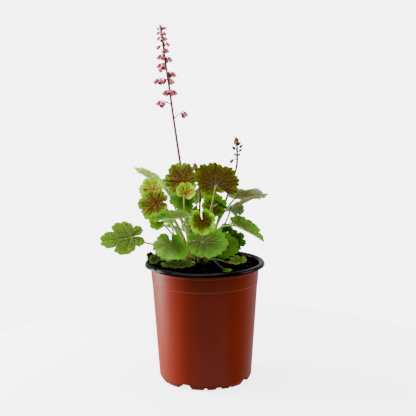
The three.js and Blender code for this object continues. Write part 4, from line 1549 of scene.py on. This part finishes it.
@dataclass
class FlowerSpike:
    """A slender stem with short branches of nodding bells, and closed buds round its tip."""

    name: str
    path: tuple[Point, ...]
    radius: Span
    branches: tuple[Branch, ...]
    buds: Buds
    stem: SoftTissue
    bell: SoftTissue
    bud: SoftTissue

    BELL_LENGTH = 8.5
    BELL_RADIUS = 3.1
    BELL_LEAN = 0.9
    BELL_SINK = 0.4
    BELL_SPACING = 3.6
    BELL_YOUNGEST = 0.55
    BELL_GROWN_BELOW = 40.0
    BUD_SINK = 0.8
    BUD_LENGTH = 3.2
    TWIG_RADIUS = 0.65
    TWIG_POINTS = 12
    STEM_POINTS = 160
    HAIR_SPACING = 0.6
    HAIR_LENGTH = 0.6
    HAIR_SEED = 77

    @staticmethod
    def bell_shape() -> Surface:
        """One bell of length and mouth radius one, hung from the origin along +Z.

        It swells from a short neck to a rounded cup, and its mouth opens in five turned-back
        lobes: the radius and the length both grow with the fifth power of the way down, times a
        wave that goes round five times. The wall then turns in to a closed throat.

        Returns:
            The bell, with the value along running down it.
        """
        profile = np.array([
            (0, -0.04), (0.13, 0.0), (0.15, 0.1), (0.4, 0.16), (0.68, 0.26), (0.84, 0.4), (0.88, 0.55),
            (0.84, 0.7), (0.86, 0.82), (1.0, 0.94), (1.06, 0.99), (0.92, 0.95), (0.74, 0.82),
            (0.68, 0.6), (0.3, 0.42), (0, 0.4),
        ])
        shape = revolved(profile, 15)
        x, y, z = shape.points.T
        wave = np.cos(5 * np.arctan2(y, x)) * np.clip(z, 0, 1) ** 5
        round_out = 1 + 0.16 * wave
        shape.points = np.stack([x * round_out, y * round_out, z + 0.09 * wave * np.hypot(x, y)], -1)
        shape.values["along"] = z
        return shape

    @staticmethod
    def petal_shape() -> Surface:
        """Makes the petals of one bell: five slim tongues and a style, out of its mouth.

        Returns:
            All six.
        """
        petal, turn = tongue(6, 0.6, 0.7), np.radians(np.arange(5) * 72 + 36)
        frames = aligned(around(turn, 0.35, 1.0))
        petals = copies(petal, around(turn, 0.62, 0.72), frames, np.tile([[0.17, 0.06, 0.46]], (5, 1)))
        style = copies(petal, np.array([[0, 0, 0.45]]), np.eye(3)[None], np.array([[0.05, 0.05, 0.75]]))
        both = joined([petals, style])
        both.values["along"] = np.full(len(both.points), 1.25)
        return both

    def stem_line(self, start: Array) -> Array:
        """Points on the smooth line from the crown through the spike's path."""
        return flowing(np.vstack([start, np.array(self.path)]), self.STEM_POINTS)

    @staticmethod
    def at_height(line: Array, height: Array) -> Array:
        """The line's points at some heights."""
        return between(height, line[:, 2], line)

    def twigs(self, line: Array) -> list[Surface]:
        """Makes the branches' twigs, each arched a twelfth of its length upwards.

        Args:
            line: The stem's line.

        Returns:
            One surface for each.
        """
        made = []
        t = np.linspace(0, 1, self.TWIG_POINTS)[:, None]
        for branch in self.branches:
            foot = self.at_height(line, np.array([branch.height]))[0]
            arch = t * (1 - t) / 3 * np.linalg.norm(branch.run) * np.array([0, 0, 1.0])
            radii = np.full(self.TWIG_POINTS, self.TWIG_RADIUS)
            made.append(swept(foot + branch.run * t + arch, radii, 6, 3))
        return made

    def hang(self, line: Array) -> tuple[Array, Array, Array]:
        """Where the bells hang: one at each branch's end and the rest by turns on its two sides.

        Args:
            line: The stem's line.

        Returns:
            The bells' places and directions, and their sizes as shares of a grown one. Within
            BELL_GROWN_BELOW of the spike's tip they get smaller, down to BELL_YOUNGEST.
        """
        places, lean, grown = [], [], []
        for branch in self.branches:
            below = min(1.0, (self.path[-1][2] - branch.height) / self.BELL_GROWN_BELOW)
            grown += [self.BELL_YOUNGEST + (1 - self.BELL_YOUNGEST) * below] * branch.bells
            foot, run, out = self.at_height(line, np.array([branch.height]))[0], branch.run, branch.out
            side = np.array([-out[1], out[0], 0])
            for k in range(branch.bells):
                aside = out if k == 0 else side * (1 if k % 2 else -1) + 0.3 * out
                down = unit(np.array([0, 0, -1]) + self.BELL_LEAN * aside)
                share = max(0.0, 1 - self.BELL_SPACING * k / float(np.linalg.norm(run)))
                places.append(foot + run * share - self.BELL_SINK * down)
                lean.append(down)
        return np.array(places), np.array(lean), np.array(grown)[:, None]

    def bells(self, line: Array) -> list[Surface]:
        """Hangs all the bells with their petals.

        Args:
            line: The stem's line.

        Returns:
            The bells and the petals.
        """
        places, lean, grown = self.hang(line)
        if not len(places):
            return []
        rng = np.random.default_rng(len(self.name))
        frames = aligned(lean + rng.normal(size=lean.shape) * 0.08)
        size = np.array([self.BELL_RADIUS, self.BELL_RADIUS, self.BELL_LENGTH])
        sizes = size * grown * rng.uniform(0.9, 1.03, (len(places), 1))
        made = [copies(shape, places, frames, sizes) for shape in (self.bell_shape(), self.petal_shape())]
        for part in made:
            part.patches = [(faces, 1) for faces, _ in part.patches]
        return made

    @staticmethod
    def bud_shape() -> Surface:
        """One closed bud of width and length one: a slim egg, fullest below its middle.

        Returns:
            The bud, with the value along running up it.
        """
        t = np.linspace(0, 1, 9)
        egg = revolved(np.stack([np.sin(np.pi * t**0.75) * (1 - 0.25 * t), t], -1), 10, 2)
        egg.values["along"] = egg.points[:, 2]
        return egg

    def side_buds(self, line: Array) -> list[Surface]:
        """Sets the buds that end the branches without bells.

        Args:
            line: The stem's line.

        Returns:
            The buds, if there are any.
        """
        bearing = [branch for branch in self.branches if branch.bud]
        if not bearing:
            return []
        up = unit(np.array([branch.out for branch in bearing]) + [0, 0, 1.0])
        foot = self.at_height(line, np.array([branch.height for branch in bearing]))
        foot = foot + np.array([branch.run for branch in bearing]) - self.BUD_SINK * up
        size = np.array([branch.bud for branch in bearing])[:, None] * [1.0, 1.0, self.BUD_LENGTH]
        return [copies(self.bud_shape(), foot, aligned(up), size)]

    def tip_buds(self, line: Array) -> Surface:
        """Sets the buds round the tip by the golden turn, steeper and smaller towards the top.

        Args:
            line: The stem's line.

        Returns:
            All of them.
        """
        count = self.buds.count
        share = np.arange(count) / (count - 1)
        foot = self.at_height(line, self.buds.low + (self.buds.high - self.buds.low) * share)
        turn = np.arange(count) * math.pi * (3 - math.sqrt(5))
        lean = around(turn, 1.0, 0.8 + 2.2 * share)
        size = (self.buds.size * (1 - 0.3 * share))[:, None] * [1.0, 1.0, self.BUD_LENGTH]
        return copies(self.bud_shape(), foot, aligned(lean), size)

    def build(self, start: Array, down: Material) -> None:
        """Makes the spike.

        Args:
            start: Where its stem starts in the crown.
            down: The material of its hairs.
        """
        line = self.stem_line(start)
        radii = np.linspace(*self.radius, len(line))
        parts = [swept(line, radii, 12), *self.twigs(line), *self.bells(line)]
        parts += [*self.side_buds(line), self.tip_buds(line)]
        parts.append(hairs(line[8:], radii[8:], self.HAIR_SPACING, self.HAIR_LENGTH, 4, self.HAIR_SEED))
        twig = SoftTissue("heuchera_twig", "#6a4444", "#7c6050", "#74403e")
        worn = [self.stem.material(), self.bell.material(), self.bud.material(), twig.material(), down]
        make_piece(self.name, joined(parts), worn, f"flower_{self.name}", crease=60)


CORAL = SoftTissue(
    "heuchera_coral_bell", "#b04c5c", "#d87888", "#b8485c", turn=(0.15, 0.9),
    roughness=0.6, depth=0.3,
)
DUSKY = SoftTissue("heuchera_dusky_bell", "#5a4416", "#b8605c", "#7a4a28", turn=(0.3, 0.9))
CRIMSON_STEM = SoftTissue(
    "heuchera_crimson_stem", "#84444a", "#945060", "#9c4654", turn=(0.25, 0.6),
    depth=0.05,
)
BROWN_STEM = SoftTissue(
    "heuchera_brown_stem", "#5e2420", "#844446", "#5a2422", turn=(0.3, 0.9),
    depth=0.05,
)
CRIMSON_BUD = SoftTissue("heuchera_crimson_bud", "#a85058", "#c87078", "#a85850")
OLIVE_BUD = SoftTissue("heuchera_olive_bud", "#5e4414", "#7e5e20", "#4a3208")
BROWN_BUD = SoftTissue("heuchera_brown_bud", "#6a3c1c", "#8a5c28", "#4e2c12")

SPIKES = [
    FlowerSpike(
        "spike_tall",
        ((-23, 12, 235), (-33, 15, 301), (-40.7, 13, 358), (-46, 12, 400), (-51, 12, 435),
         (-54, 12, 461), (-57, 12, 484)),
        (2.0, 1.35),
        (
            Branch(359, -12, 14, 10.5, 2), Branch(378, 172, 15, 6, 2), Branch(378, 172, 9, 3.6, 1),
            Branch(396.5, 195, 4, 1.5, 1), Branch(397, -10, 4, 1.5, 1),
            Branch(397.5, -90, 2.5, 1.5, 3), Branch(411.5, 183, 12.5, 2, 2),
            Branch(412, 205, 2.5, 1, 1), Branch(412.5, -35, 4, 1, 2), Branch(421, -5, 5.5, 1.6, 2),
            Branch(433, 180, 6, 1, 3), Branch(430, 215, 4, -1, 1), Branch(441.5, -10, 4, 1.2, 2),
            Branch(445, 176, 4.4, 0.7, 2), Branch(453.5, -20, 2.4, 0.7, 3),
            Branch(456.5, 184, 3.7, 1, 1), Branch(461, 0, 4.2, 1, 2), Branch(467.5, 190, 3, 1.5, 3),
            Branch(468, -25, 3, 1, 2), Branch(474, 0, 2.8, 1.5, 2), Branch(475, 190, 2, 1, 2),
            Branch(477, -10, 4, 2, bud=1.9), Branch(477, 185, 3.2, 1.5, bud=1.7),
        ),
        Buds(479, 482, 5, 1.9), CRIMSON_STEM, CORAL, CRIMSON_BUD,
    ),
    FlowerSpike(
        "spike_right",
        ((8, 15, 188), (20, 23, 218), (32, 27, 251), (44, 27, 288), (45.6, 26, 309), (44.4, 26, 330)),
        (1.9, 1.3),
        (
            Branch(301.5, 184, 5, 0.4, 1), Branch(306.5, 190, 1.8, 0.8, bud=1.7),
            Branch(306.5, -20, 1.8, 0.8, bud=1.7), Branch(306, -95, 1.4, 0.8, bud=1.7),
            Branch(314, 188, 3, 2, bud=2.3), Branch(311.5, -20, 3.2, 1.5, bud=2.0),
            Branch(316, 10, 4, 2, bud=2.2),
        ),
        Buds(321.2, 328, 13, 2.5), BROWN_STEM, DUSKY, OLIVE_BUD,
    ),
    FlowerSpike(
        "spike_middle",
        ((-6, 3, 201), (-6.5, 5, 232), (-6, 5, 260), (-9.5, 3, 281), (-13.4, 2, 298)),
        (1.7, 1.3), (), Buds(288.5, 296, 12, 2.6), BROWN_STEM, DUSKY, BROWN_BUD,
    ),
]


# ---------------------------------------------------------------- the whole plant and the studio


@dataclass
class Plant:
    """The plant in its pot: what it stands in, its crown, its leaves and its flower spikes."""

    pot: Pot = field(default_factory=Pot)
    crown: Crown = field(default_factory=Crown)

    def build(self) -> None:
        """Makes every piece of the object."""
        self.pot.build()
        Soil(self.pot).build()
        targets = np.array([leaf.at for leaf in LEAVES] + [spike.path[0] for spike in SPIKES])
        roots = self.crown.spread_roots(targets)
        starts = self.crown.root_points(roots)
        self.crown.build(roots)
        finishes = {look.name: look.value.material() for look in Look}
        undersides = (UNDERSKIN, MID_UNDERSKIN, PALE_UNDERSKIN, SHADED_UNDERSKIN)
        for finish in (*undersides, STALK, SHADED_STALK):
            finishes[finish.name] = finish.material()
        finishes["down"] = DOWN.material()
        for leaf, start, root in zip(LEAVES, starts, roots):
            leaf.build(start, root, finishes)
        for spike, start in zip(SPIKES, starts[len(LEAVES) :]):
            spike.build(start, finishes["down"])


@dataclass
class Studio:
    """A pale floor, soft lights on both sides and the camera."""

    camera_at: Point = (0.0, -1.380, 0.472)
    pitch: float = 9.6
    roll: float = -0.43
    lens: float = 88.87
    shift: float = 0.0086
    dark_side: Point = (0.45, -0.89, 0.0)
    dark_span: Span = (-0.25, 0.5)
    room_light: float = 0.72
    white: float = 6.0
    floor_radius: float = 0.4
    floor_light: float = 3.5
    floor_sides: int = 96
    front_light: float = 0.02

    def camera(self) -> None:
        """Sets the camera in front of the plant and a little above it."""
        made = bpy.data.objects.new("camera", bpy.data.cameras.new("camera"))
        made.data.lens, made.data.sensor_width = self.lens, 36.0
        made.data.shift_x = self.shift
        tilt = Matrix.Rotation(math.radians(90 - self.pitch), 4, "X")
        roll = Matrix.Rotation(math.radians(self.roll), 4, "Z")
        made.matrix_world = Matrix.Translation(self.camera_at) @ tilt @ roll
        bpy.context.scene.collection.objects.link(made)
        bpy.context.scene.camera = made

    def light(self, name: str, at: Point, aim: Point, size: Span, power: float) -> None:
        """Sets one softbox.

        Args:
            name: The light's name.
            at: Where it is, in metres.
            aim: What it points at.
            size: Its width and height.
            power: Its power in watts.
        """
        data = bpy.data.lights.new(name, "AREA")
        data.shape, data.size, data.size_y = "RECTANGLE", *size
        data.energy = power
        made = bpy.data.objects.new(name, data)
        made.location = at
        made.rotation_euler = (Vector(aim) - Vector(at)).to_track_quat("-Z", "Y").to_euler()
        bpy.context.scene.collection.objects.link(made)

    def room(self) -> None:
        """Gives the room its light: strong from the left, behind and above, faint from the front."""
        world = bpy.data.worlds.new("studio_room")
        bpy.context.scene.world = world
        world.use_nodes = True
        nodes = Nodes(world.node_tree)
        way = {0: nodes.add("ShaderNodeTexCoord", output="Generated"), 1: self.dark_side}
        front = nodes.add("ShaderNodeVectorMath", {"operation": "DOT_PRODUCT"}, way, "Value")
        level = nodes.spread(front, self.dark_span, (self.room_light, self.front_light))
        seen = nodes.add("ShaderNodeLightPath", output="Is Camera Ray")
        level = nodes.add("ShaderNodeMix", {"data_type": "FLOAT"}, {0: seen, 2: level, 3: self.white})
        glow = world.node_tree.nodes["Background"]
        nodes.feed(glow.inputs["Color"], "#ffffff")
        nodes.feed(glow.inputs["Strength"], level)

    def floor(self) -> None:
        """Lays a round sheet of white acrylic under the pot, lit a little from below."""
        corners = around(turns(self.floor_sides), self.floor_radius, 0.0)
        mesh = bpy.data.meshes.new("floor")
        mesh.from_pydata(corners.tolist(), [], [tuple(range(self.floor_sides))])
        paint = Paint(
            "white_acrylic_sheet", Roughness=0.9, Emission_Color="#ffffff",
            Emission_Strength=self.floor_light,
        )
        tint = paint.mix(paint.noise(paint.place(), 900.0), "#f4f3f1", "#fbfbfa")
        mesh.materials.append(paint.finished(Base_Color=tint))
        sheet = bpy.data.objects.new("floor", mesh)
        bpy.context.scene.collection.objects.link(sheet)
        sheet.visible_diffuse = sheet.visible_glossy = sheet.visible_shadow = False

    def build(self) -> None:
        """Makes the studio."""
        self.camera()
        self.floor()
        self.room()
        middle = (0.0, 0.0, 0.2)
        self.light("left_softbox", (-0.75, 0.21, 0.3), (0.0, 0.0, 0.15), (0.5, 0.9), 24.0)
        self.light("right_softbox", (0.75, -0.02, 0.45), (0.0, 0.0, 0.27), (0.4, 0.6), 4.5)
        self.light("top_softbox", (-0.2, -0.15, 1.35), middle, (1.1, 1.1), 20.0)
        self.light("front_softbox", (-0.7, -1.15, 1.15), middle, (0.7, 0.7), 1.8)
        self.light("table_softbox", (0.05, -0.3, -0.12), (0.0, -0.02, 0.25), (0.5, 0.25), 0.4)


def main() -> None:
    """Builds the plant and the studio."""
    logging.basicConfig(level=logging.INFO, format="%(name)s %(message)s")
    Plant().build()
    Studio().build()
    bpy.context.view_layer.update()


if __name__ == "__main__":
    main()
